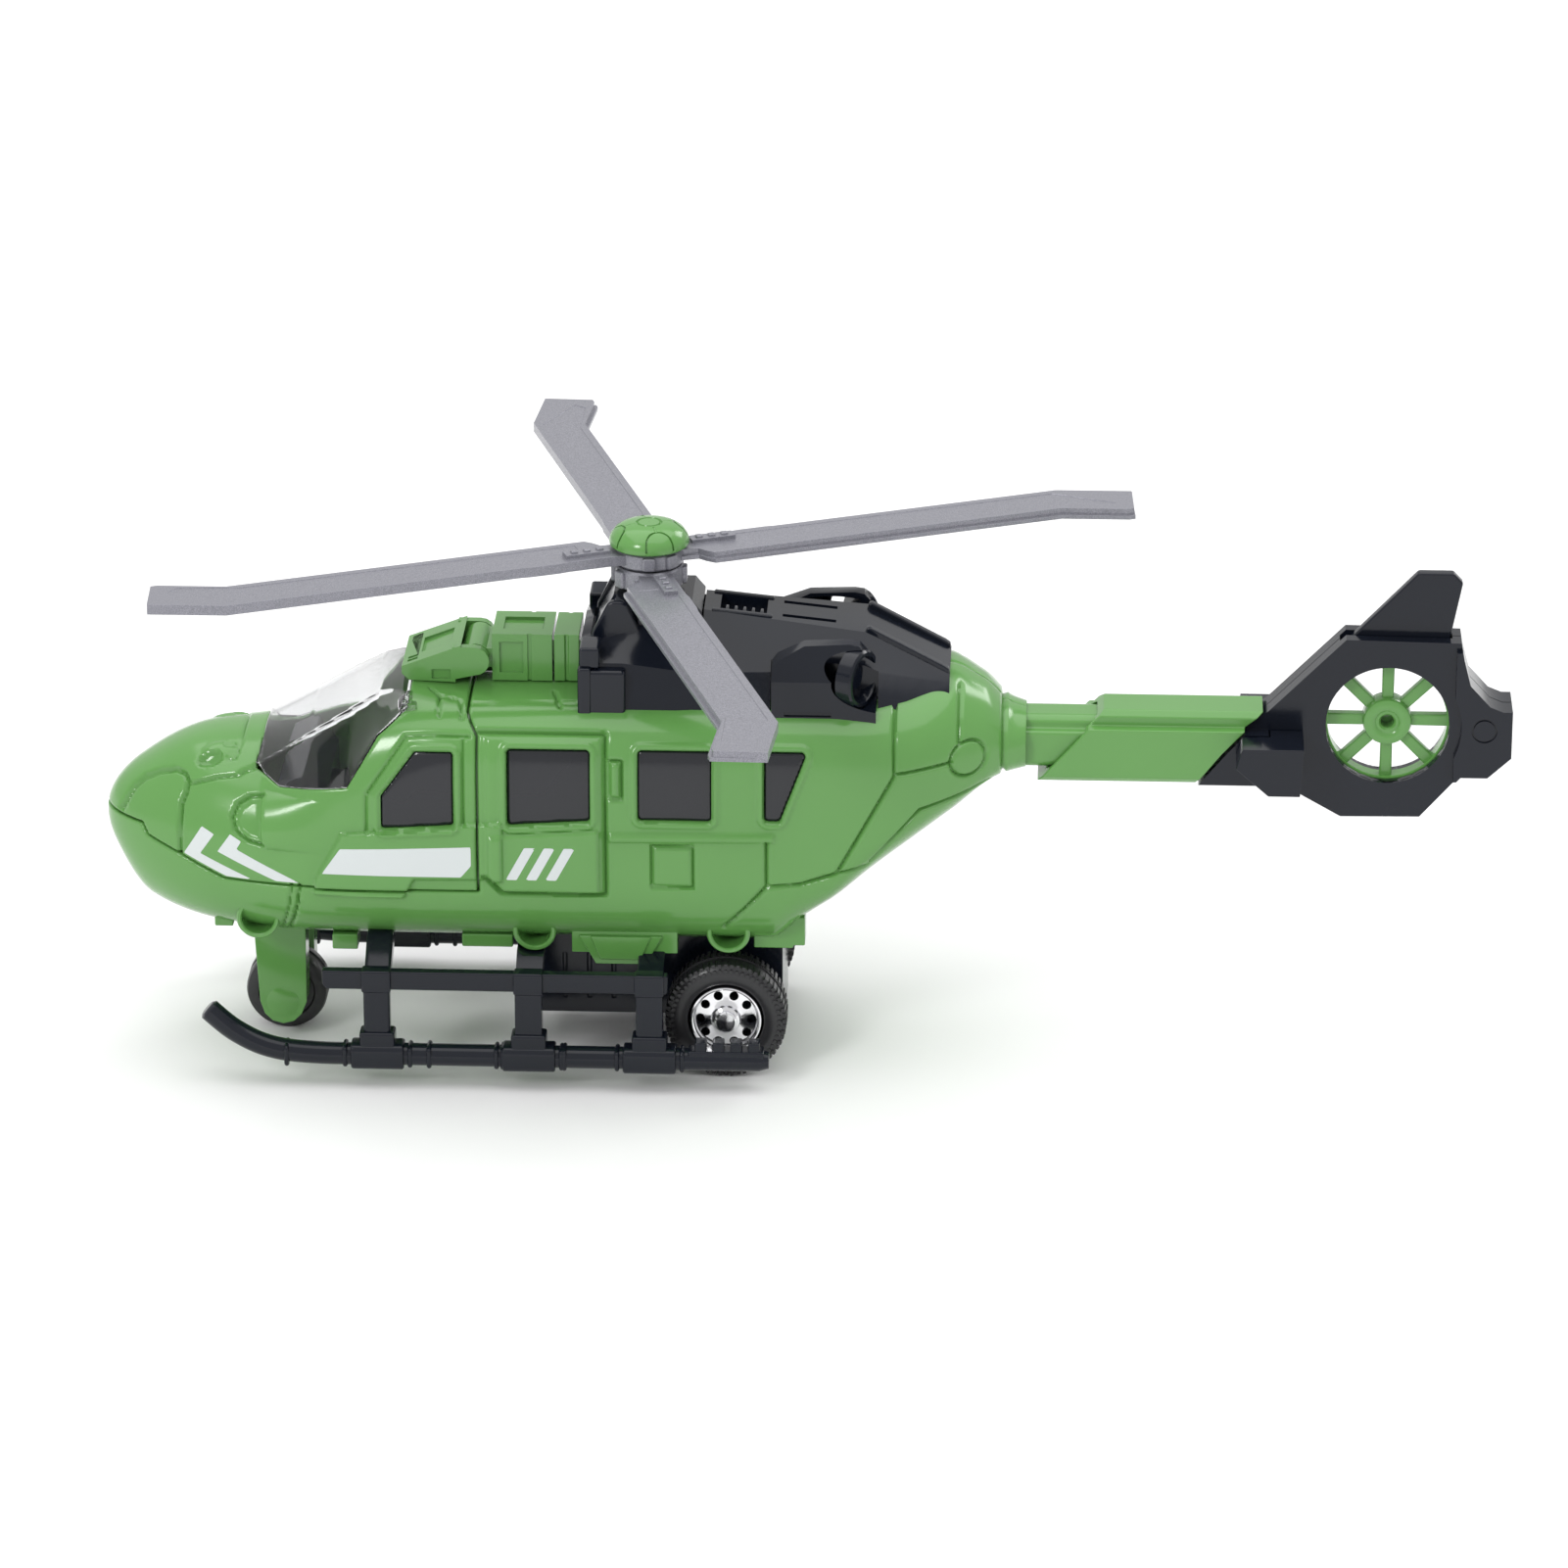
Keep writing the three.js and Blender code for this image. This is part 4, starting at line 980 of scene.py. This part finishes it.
def cowl_ring(station):
    x, base, base_z, shoulder, shoulder_z, deck, deck_z = station
    half = [(base, base_z), (shoulder, shoulder_z), (deck, deck_z)]
    return [(x, y, z) for y, z in half] + [(x, -y, z) for y, z in reversed(half)]


def make_cowl():
    body = loft([cowl_ring(station) for station in COWL])
    body = carve(body, box((-43, -20.2), (-7.6, 7.6), (89, 110)), loft_core())
    for side in (-1, 1):
        body = carve(body, box((-6.3, 15.3), span(side, 13.5, 30), (70, 100)))
        # A long hollow under the edge of the deck.
        body = carve(body, rod_between(5.2, (-20, side * 16.6, 94.6), (11, side * 17.5, 92.2), 48))
    # The louvre recess, and two slots behind it.
    body = carve(body, slope_box(-17, -7.6, 2.4, -4.3, 4.3))
    for y in (-3.8, 3.8):
        body = carve(body, slope_box(-4.4, 6.4, 1.6, y - 0.75, y + 0.75))
    body = carve(body, rod(2.3, (MAST_X, 0), 70, 110, "Z"))
    parts = [smooth_edges(body, 0.35)]
    for i in range(5):
        x = -16 + 1.75 * i
        parts.append(smooth_edges(slope_box(x, x + 0.8, 2.6, -4.5, -1.4, 0.1), 0.3))
    slope = [(12.6, 90.6), (29.4, 82), (29.4, 83.7), (28.4, 84.4), (13.4, 92.4), (12.6, 92.2)]
    gusset = [(-43, 86), (-42.6, 91), (-39.6, 97), (-38.6, 97.6), (-36.6, 97.6), (-35.6, 97), (-30.6, 86)]
    for side in (-1, 1):
        parts += [
            smooth_edges(slope_box(-18.6, -6.4, 1, *span(side, 4.4, 5.9), 0.35), 0.3),
            smooth_edges(prism(slope, *span(side, 6, 7.9)), 0.35),
            block((-44.9, -35.3), span(side, 15, 20.1), (75.6, 86.8), 0.8, 4),
            block((-44.9, -42.2), span(side, 15, 20.4), (75.4, 87.4), 0.5),
            smooth_edges(prism(gusset, *span(side, 7.35, 9.3)), 0.5),
            block((-44.6, -40.5), span(side, 12, 19.4), (87, 91.4), 0.6),
        ]
    piece(joined(*parts), "engine_cowl_body", BLACK, "engine_cowl")


def loft_core():
    """The hollow inside of the cowl."""
    xs = (-43.2, -36, -22.5, 11)
    rings = []
    for x, (_, base, base_z, shoulder, shoulder_z, deck, deck_z) in zip(xs, COWL):
        rings.append([(x, y, z) for y, z in ((base - 2.2, base_z - 2), (shoulder - 2.4, shoulder_z - 2.4),
                                            (deck - 1.5, deck_z - 4.6), (1.5 - deck, deck_z - 4.6),
                                            (2.4 - shoulder, shoulder_z - 2.4), (2.2 - base, base_z - 2))])
    return loft(rings)


def deck_z(x):
    """Height of the cowl's deck."""
    return float(np.interp(x, [row[0] for row in COWL], [row[6] for row in COWL]))


def slope_box(x0, x1, depth, low, high, proud=3.0):
    """A block that follows the deck, from depth below it to proud above it, and from low to high in Y."""
    return prism([(x0, deck_z(x0) - depth), (x1, deck_z(x1) - depth), (x1, deck_z(x1) + proud),
                  (x0, deck_z(x0) + proud)], low, high)


def make_pods():
    outline = [(-6, 74), (-6, 87.6), (-5, 88.9), (0.5, 91.6), (9.6, 92), (11.6, 91.6), (13.2, 89.8),
               (15, 86), (15, 74)]
    body = prism(outline, -20.8, -13.2)
    outside = [(-30, 95), (-30, 70), (-20.9, 70), (-20.8, 85.4), (-14.7, 94.6)]
    body = carve(body, prism(outside, -20, 20, "X"))
    body = carve(body, exhaust_bar(6.15, -40, 40), box((-6.8, -5.2), (-19.6, -14.4), (79, 86.4)))
    body = carve(body, prism([(-3.4, 78), (6, 78), (6, 79), (-3.4, 79)], -22, -20.3))
    body = smooth_edges(body, 0.5)
    ring = turned([(4.7, -1.6), (4.7, 1.1), (4.9, 1.4), (5.6, 1.4), (6.0, 1.0), (6.0, -2), (0.05, -2),
                   (0.05, -0.4), (2.2, -0.4), (2.2, -1.6)], (0, 0), "Z")
    ring = clean(place_exhaust(ring))
    beside = box((-50, 50), (-13.5, 0), (60, 110))
    behind = box((14.7, 60), (-14.4, 0), (60, 110))
    ring = shade_smooth(carve(ring, beside, behind), 35)
    both_sides(body, "pod_{}", BLACK, "engine_pod_{}")
    both_sides(ring, "exhaust_ring_{}", BLACK, "exhaust_{}")


def place_exhaust(made):
    """Turns a part made along +Z to face out and back from the pod."""
    angle = math.radians(62)
    # The CAD's tube is a cylinder along +Y that is turned by 62 degrees about Z.
    way = Vector((math.sin(angle), -math.cos(angle), 0))
    turn = Vector((0, 0, 1)).rotation_difference(way).to_matrix().to_4x4()
    return moved(made, Matrix.Translation(Vector((11.4, -16.7, 84.9)) * MM) @ turn)


def exhaust_bar(radius, low, high):
    return place_exhaust(rod(radius, (0, 0), low, high, "Z"))


def make_mast():
    tower = prism([(-42.7, 89.3), (-38.5, 97.4), (-22.5, 97.4), (-20.5, 95), (-20.5, 89.3)], -7.3, 7.3)
    corner = [(-43, 92.5), (-41.5, 92.5), (-37.4, 98), (-43, 98)]
    hollows = ([(-36.4, 91.5), (-33.4, 91.5), (-33.4, 95.6), (-36.4, 94)],
               [(-30, 91.5), (-24, 91.5), (-24, 95.6), (-30, 95.6)])
    for side in (-1, 1):
        tower = carve(tower, prism(corner, *span(side, 4.6, 9)))
        for hollow in hollows:
            tower = carve(tower, prism(hollow, *span(side, 6.6, 9)))
    tower = carve(tower, rod(2.28, (MAST_X, 0), 80, 110, "Z"))
    piece(smooth_edges(tower, 0.6), "mast_tower", BLACK, "mast_support")


# ---- rotors

def blade_outline(lead=0.0):
    """One blade along +X. lead draws the leading edge back."""
    front = -8.2 + lead
    return [(4, -4.4 + lead), (9, -4.8 + lead), (10, -6.6 + lead), (11.4, front), (70, front), (86.5, front),
            (99.2, front - 5.2), (100.6, front - 5.2), (103.9, -3.4), (104, -2.9), (89.5, 3), (28, 3),
            (26, 3.25), (20, 3.25), (18, 3), (9, 3), (4, 3.6)]


def blade_pair(middle_z, yaw, hub_low, hub_high):
    """Two blades on a ring, with a step along the leading edge, an inset top and three rivets each."""
    low, high = middle_z - 1.05, middle_z + 1.05
    lower = prism(blade_outline(0.0), low, low + 0.85, "Z")
    upper = prism(blade_outline(0.75), low + 0.2, high, "Z")
    blade = union(lower, upper)
    inset = [(14, -5.9), (84, -5.9), (96, -10), (98.4, -8.2), (88, 1.4), (14, 1.4)]
    blade = carve(blade, prism(inset, high - 0.14, high + 1, "Z"))
    blade = union(blade, box((8.7, 18), (-1.4, 1.4), (middle_z - 0.5, high + 0.8)))
    rivets = [block((x - 0.7, x + 0.7), (-0.7, 0.7), (high, high + 1.25), 0.25) for x in (10.6, 13.3, 16)]
    blade = joined(smooth_edges(blade, 0.32), *rivets)
    other = spun(scene_object(blade.name + "_copy", blade.data.copy()), 180)
    ring = turned([(2.3, hub_low), (6.6, hub_low), (7, hub_low + 0.4), (7, hub_high - 0.4),
                   (6.6, hub_high), (2.3, hub_high)], axis="Z")
    lugs = []
    for turn in (70, 110, 250, 290):
        lug = box((6.2, 7.7), (-1.3, 1.3), (hub_low + 0.3, hub_high - 0.3))
        lugs.append(smooth_edges(spun(lug, turn), 0.4))
    pair = joined(shade_smooth(ring, 30), blade, other, *lugs)
    return moved(spun(pair, yaw), Matrix.Translation(Vector((MAST_X, 0, 0)) * MM))


def make_rotor():
    piece(blade_pair(105.1, UPPER_YAW, 103.2, 106.6), "upper_blade_pair", SILVER, "upper_blades")
    piece(blade_pair(101.3, LOWER_YAW, 98.6, 102.8), "lower_blade_pair", SILVER, "lower_blades")
    dome = turned([(1.1, 109.6), (2.35, 109.8), (2.35, 111), (0.05, 111), (0.05, 111.5), (2.1, 111.5),
                   (2.3, 111.15), (2.5, 111.15), (2.7, 111.5), (4.2, 111.3), (5.6, 110.9), (6.9, 110.1),
                   (7.8, 108.9), (8.1, 107.9), (8.05, 107.2), (7.75, 106.9), (2.3, 106.9), (2.3, 109.1),
                   (1.1, 109.3)], (MAST_X, 0), "Z", 96)
    cuts = []
    for turn in range(0, 360, 90):
        angle = math.radians(turn + 20)
        reach = Vector((math.cos(angle), math.sin(angle)))
        start, end = [Vector((MAST_X, 0)) + reach * radius for radius in (3.1, 5.4)]
        cuts.append(arch_cut(Vector((MAST_X, 0)) + reach * 8.1))
        cuts.append(rod_between(0.35, (*start, 111.7), (*end, 111.2), 16))
    dome = carve(dome, *cuts)
    piece(shade_smooth(dome, 35), "rotor_cap_dome", GREEN, "rotor_cap")
    refined("rotor_shaft", STEEL, 0.2)
    screw = turned([(0.05, 110.4), (1.3, 110.5), (1.9, 110.8), (2, 110.6), (2, 110.2), (0.8, 110.1),
                    (0.8, 100.2), (0.05, 100)], (MAST_X, 0), "Z", 48)
    piece(shade_smooth(screw, 35), "rotor_screw_head", STEEL, "rotor_screw")


def arch_cut(centre):
    """A shallow ring-shaped groove round an arch at the rim of the cap."""
    outer = rod(3.1, tuple(centre), 107.6, 112.5, "Z", 40)
    inner = rod(2.65, tuple(centre), 105, 114, "Z", 40)
    floor = turned([(0.05, 106), (7.75, 106), (7.45, 108.6), (6.5, 109.8), (5.3, 110.55), (4, 110.95),
                    (0.05, 111)], (MAST_X, 0), "Z", 64)
    return carve(outer, inner, floor)


# ---- tail

def make_tail():
    refined("tail_boom", GREEN, 0.7)
    refined("tail_sleeve", GREEN, 0.9)
    refined("tail_fin", BLACK, 0.4)
    for side, label in SIDES:
        refined("tail_shroud_" + label, BLACK, 0.5, lambda made: shroud_details(made, side))
        refined("stabilizer_" + label, BLACK, 0.6)
    make_fan()


def shroud_details(made, side):
    """The recess round the fan, its open duct and a small ring mark behind it."""
    for radius, inner_y in ((14.9, 4.3), (12.5, 3.5)):
        made = carve(made, rod(radius, FAN, *span(side, inner_y, 8), sides=96))
    low, high = span(side, 5.4, 6.8)
    mark = turned([(2.15, low), (2.6, low), (2.6, high), (2.15, high)], (137.5, 71.3))
    return carve(made, mark)


def make_fan():
    ring = turned([(12.3, -1.9), (13.4, -1.9), (13.75, -1.5), (13.75, 1.5), (13.4, 1.9), (12.3, 1.9),
                   (12.1, 1.6), (12.1, -1.6)], FAN, sides=96)
    parts = [shade_smooth(ring, 30)]
    for i in range(FAN_BLADES):
        blade = prism([(4, -1.2), (12.8, -1.25), (12.8, 1.25), (4, 1.2)], -1.2, 1.2)
        parts.append(set_round(smooth_edges(blade, 0.4, 2), 360 / FAN_BLADES * i, *FAN))
    hub = turned([(1.35, 1.1), (1.4, -1.9), (1.75, -2.35), (2.3, -2.3), (2.7, -2.7), (3.7, -2.9),
                  (4.7, -2.5), (5, -1.8), (5, 1.8), (4.6, 2.6), (3.6, 2.9), (0.05, 2.9), (0.05, 1.1)], FAN)
    parts.append(shade_smooth(hub, 35))
    piece(joined(*parts), "tail_fan_wheel", GREEN, "tail_fan")


# ---- skids and nose leg

SKID_PATH = [(-120, 16.4), (-114.5, 11.6), (-107.5, 8.2), (-98, 7), (-80, 7), (-40, 7), (-6, 7)]


def tube(points, radius):
    """A closed round tube on a smooth path."""
    sides, steps = 28, 10
    path = [np.array(point, float) for point in points]
    smooth = []
    for i in range(len(path) - 1):
        before = path[max(0, i - 1)]
        after = path[min(len(path) - 1, i + 2)]
        for k in range(steps):
            t = k / steps
            a = 2 * path[i] + t * (path[i + 1] - before)
            b = t * t * (2 * before - 5 * path[i] + 4 * path[i + 1] - after)
            c = t ** 3 * (3 * path[i] - before - 3 * path[i + 1] + after)
            smooth.append((a + b + c) / 2)
    smooth.append(path[-1])
    last = len(smooth) - 1
    side = np.array([0, 1.0, 0])
    rings = []
    for i, point in enumerate(smooth):
        ahead = smooth[min(i + 1, last)] - smooth[max(i - 1, 0)]
        ahead /= np.linalg.norm(ahead)
        up = np.cross(ahead, side)
        scale = 0.75 if i in (0, last) else 1
        angles = [2 * math.pi * j / sides for j in range(sides)]
        rings.append([tuple(point + radius * scale * (math.cos(angle) * side + math.sin(angle) * up))
                      for angle in angles])
    return shade_smooth(loft(rings), 50)


def rounded_bar(x, half, radius):
    """A short fat sleeve round the skid, softly squared."""
    ring = []
    for i in range(40):
        angle = 2 * math.pi * i / 40
        c, s = math.cos(angle), math.sin(angle)
        reach = (abs(c) ** 4 + abs(s) ** 4) ** -0.25
        ring.append((-SKID_Y + radius * reach * c, SKID_Z + radius * reach * s))
    return smooth_edges(prism(ring, x - half, x + half, "X"), 0.5, 3, 40)


def make_skids():
    def on_skid(x, half_width, z, width):
        return block(x, (-SKID_Y - half_width, -SKID_Y + half_width), z, width)

    parts = [tube([(x, -SKID_Y, z) for x, z in SKID_PATH], 2.3)]
    leg = [(-17, 30), (-22, 30), (-29.4, 24.4), (-30.6, 23.6), (-32.4, 21.6), (-32.6, 20.8), (-32.6, 9),
           (-29.4, 9), (-29.4, 21), (-28, 22), (-17, 27.2)]
    short_leg = [(-17, 28), (-24, 25.6), *leg[2:]]
    for x in STRUTS:
        parts.append(rounded_bar(x, 5.4, 2.8))
        parts += [rounded_bar(x + shift, 0.5, 2.5) for shift in (-6.6, 6.6)]
        parts.append(on_skid((x - 3.6, x + 3.6), 2.3, (8.6, 12.4), 0.6))
        strut = prism(leg if x < -40 else short_leg, x - 2.7, x + 2.7, "X")
        wells = [rod(4.65, place, -26, -10) for place in SCREWS]
        parts.append(smooth_edges(carve(strut, *wells), 0.8))
        parts.append(block((x - 3, x + 3), (-32.9, -29.4), (21.1, 25.9), 0.5))
    parts.append(rail())
    parts += [rounded_bar(x, 0.5, 2.55) for x in (-60, -75, -47.5, -104)]
    for i in range(4):
        x = -21 + 3.6 * i
        parts.append(on_skid((x, x + 2.4), 1.6, (7.4, 11.2), 0.35))
    parts.append(on_skid((-22.4, -7), 1.9, (6, 9.4), 0.4))
    both_sides(joined(*parts), "skid_{}_frame", BLACK, "skid_{}")


def rail():
    """The step rail, with a chamfered front end."""
    bar = prism([(-96.5, 22.6), (-95.6, 21.5), (-26.6, 21.5), (-26.4, 25.5), (-96.5, 25.5)], -32, -29.6)
    return smooth_edges(bar, 0.35)


def make_nose_gear():
    x, z = NOSE_WHEEL
    blade = prism([(x - 6, 33), (x - 4.7, z + 0.8), (x - 3.8, z - 2), (x - 2.2, z - 3.6), (x, z - 4.2),
                   (x + 2.2, z - 3.6), (x + 3.8, z - 2), (x + 4.9, z + 0.8), (x + 5.1, 33)], -10.9, -5)
    blade = carve(blade, rod(1.5, (x, z), -9.9, 0))
    disc = turned([(0.05, -11), (3.1, -11), (3.6, -10.8), (3.7, -10.3), (0.05, -10.3)], (x, z + 0.6))
    disc = shade_smooth(disc)
    both_sides(joined(smooth_edges(blade, 0.5), disc), "nose_leg_{}_blade", GREEN, "nose_leg_{}")
    half = [(1.4, -3.9), (3.2, -3.9), (3.5, -3.4), (5.6, -3.4), (5.9, -3.95), (7.2, -3.95), (8.1, -3.4),
            (8.4, -2.6), (8.4, -1), (8.15, -0.8)]
    wheel = turned(both_ways(half), (x, z), sides=80)
    piece(shade_smooth(wheel, 35), "nose_wheel_tyre", WHEEL_BLACK, "nose_wheel")
    refined("nose_axle", STEEL, 0.3)


# ---- rear wheels and gearbox

def make_rear_wheels():
    x, z = REAR_WHEEL
    tyre = turned([(7.75, -23.5), (8.2, -23.9), (9.2, -24.2), (10.7, -24.1), (11.7, -23.6), (12.15, -22.9),
                   (12.15, -16.9), (11.7, -16.2), (10.7, -15.7), (9.2, -15.6), (7.75, -15.6)],
                  (x, z), sides=120)
    tyre = shade_smooth(tyre, 40)
    nubs = []
    for i in range(TREAD_ROWS):
        turn = 360 / TREAD_ROWS * i
        for low, high in ((-23.9, -20.9), (-18.9, -15.9)):
            low, high = (low, high) if i % 2 else (low + 0.25, high - 0.25)
            nubs.append(set_round(box((-0.34, 0.34), (low, high), (11.5, 12.36)), turn, x, z))
        nubs.append(set_round(rod(0.4, (0, 10.9), -24.25, -23.8, sides=10), turn, x, z))
    band = turned([(11.9, -19.9), (12.45, -19.85), (12.45, -19.65), (11.9, -19.6)], (x, z), sides=120)
    tyre = joined(tyre, shade_smooth(band), *nubs)
    hub = turned([(0.05, -25.1), (1.9, -25.1), (2.25, -24.8), (2.3, -24.2), (2.8, -23.9), (3.1, -23.2),
                  (4, -22.9), (6.2, -22.6), (6.5, -22.9), (6.6, -23.7), (6.9, -24), (7.2, -23.9),
                  (7.4, -23.5), (7.4, -15.7), (4, -15.7), (4, -13.3), (1.75, -13.2),
                  (1.75, -22.2), (0.05, -22.3)],
                 (x, z), sides=96)
    for u, v in circle(5.2, x, z, RIM_HOLES):
        hub = carve(hub, rod(0.95, (u, v), -24, -12, sides=24))
    both_sides(tyre, "tyre_rear_{}", WHEEL_BLACK, "rear_tyre_{}")
    both_sides(shade_smooth(hub, 30), "rim_rear_{}", CHROME, "rear_rim_{}")
    refined("rear_axle", STEEL, 0.2)


def make_gearbox():
    for side, label in SIDES:
        def details(made):
            face = side * 12.5
            low, high = sorted((face - side * 0.5, face + side))
            return carve(made, *[box((x, x + 0.8), (low, high), (12, 22)) for x in (-54, -49, -44, -39)])
        refined("gearbox_" + label, BLACK, 0.5, details)
    for node, material, width in (("axle_gear", NYLON, 0.1), ("idler_gear", NYLON, 0.1),
                                  ("idler_pin", STEEL, 0.15), ("flywheel", STEEL, 0.15)):
        refined(node, material, width)


# ---- studio

def make_studio():
    floor = prism([(-3000, -3000), (3000, -3000), (3000, 3000), (-3000, 3000)], -4, 0, "Z")
    floor.name = "studio_floor"
    floor.data.materials.append(plastic("studio_white", (0.9, 0.9, 0.9), 0.6, 0.01, 0.00001, 0.0))
    world = bpy.data.worlds.new("studio")
    world.use_nodes = True
    world.node_tree.nodes["Background"].inputs["Color"].default_value = (1, 1, 1, 1)
    world.node_tree.nodes["Background"].inputs["Strength"].default_value = 0.75
    bpy.context.scene.world = world
    soft_light("top_softbox", (0.0, 0.1, 1.2), size=1.7, power=12)
    soft_light("front_softbox", (-0.8, -1.1, 0.9), size=0.35, power=6.5)
    soft_light("rear_softbox", (0.9, 0.9, 0.8), size=0.5, power=4)


def soft_light(name, place, size, power):
    """A square softbox, in metres and watts, that faces the middle of the helicopter."""
    target = Vector((0, 0, 0.05))
    light = bpy.data.lights.new(name, "AREA")
    light.shape = "SQUARE"
    light.size = size
    light.energy = power
    lamp = bpy.data.objects.new(name, light)
    bpy.context.scene.collection.objects.link(lamp)
    lamp.location = place
    lamp.rotation_euler = (target - Vector(place)).to_track_quat("-Z", "Y").to_euler()


CAMERA_ROUND = 2.5          # degrees from square to the side
CAMERA_UP = 22.3            # degrees
CAMERA_AWAY = 1.5           # metres


def make_camera():
    azimuth, elevation, distance = math.radians(CAMERA_ROUND), math.radians(CAMERA_UP), CAMERA_AWAY
    target = Vector((-0.0043, 0, 0.0549))
    way = Vector((math.sin(azimuth) * math.cos(elevation), -math.cos(azimuth) * math.cos(elevation),
                  math.sin(elevation)))
    camera = bpy.data.cameras.new("photo_camera")
    camera.lens = 168.65
    camera.sensor_width = 36
    camera.clip_start = 0.05
    camera.clip_end = 20
    eye = bpy.data.objects.new("photo_camera", camera)
    bpy.context.scene.collection.objects.link(eye)
    eye.location = target + distance * way
    eye.rotation_euler = (-way).to_track_quat("-Z", "Y").to_euler()
    bpy.context.scene.camera = eye


bpy.context.scene.view_settings.view_transform = "Standard"
make_camera()
make_studio()
make_hull()
make_cockpit()
make_roof()
make_cowl()
make_pods()
make_mast()
make_rotor()
make_tail()
make_skids()
make_nose_gear()
make_rear_wheels()
make_gearbox()
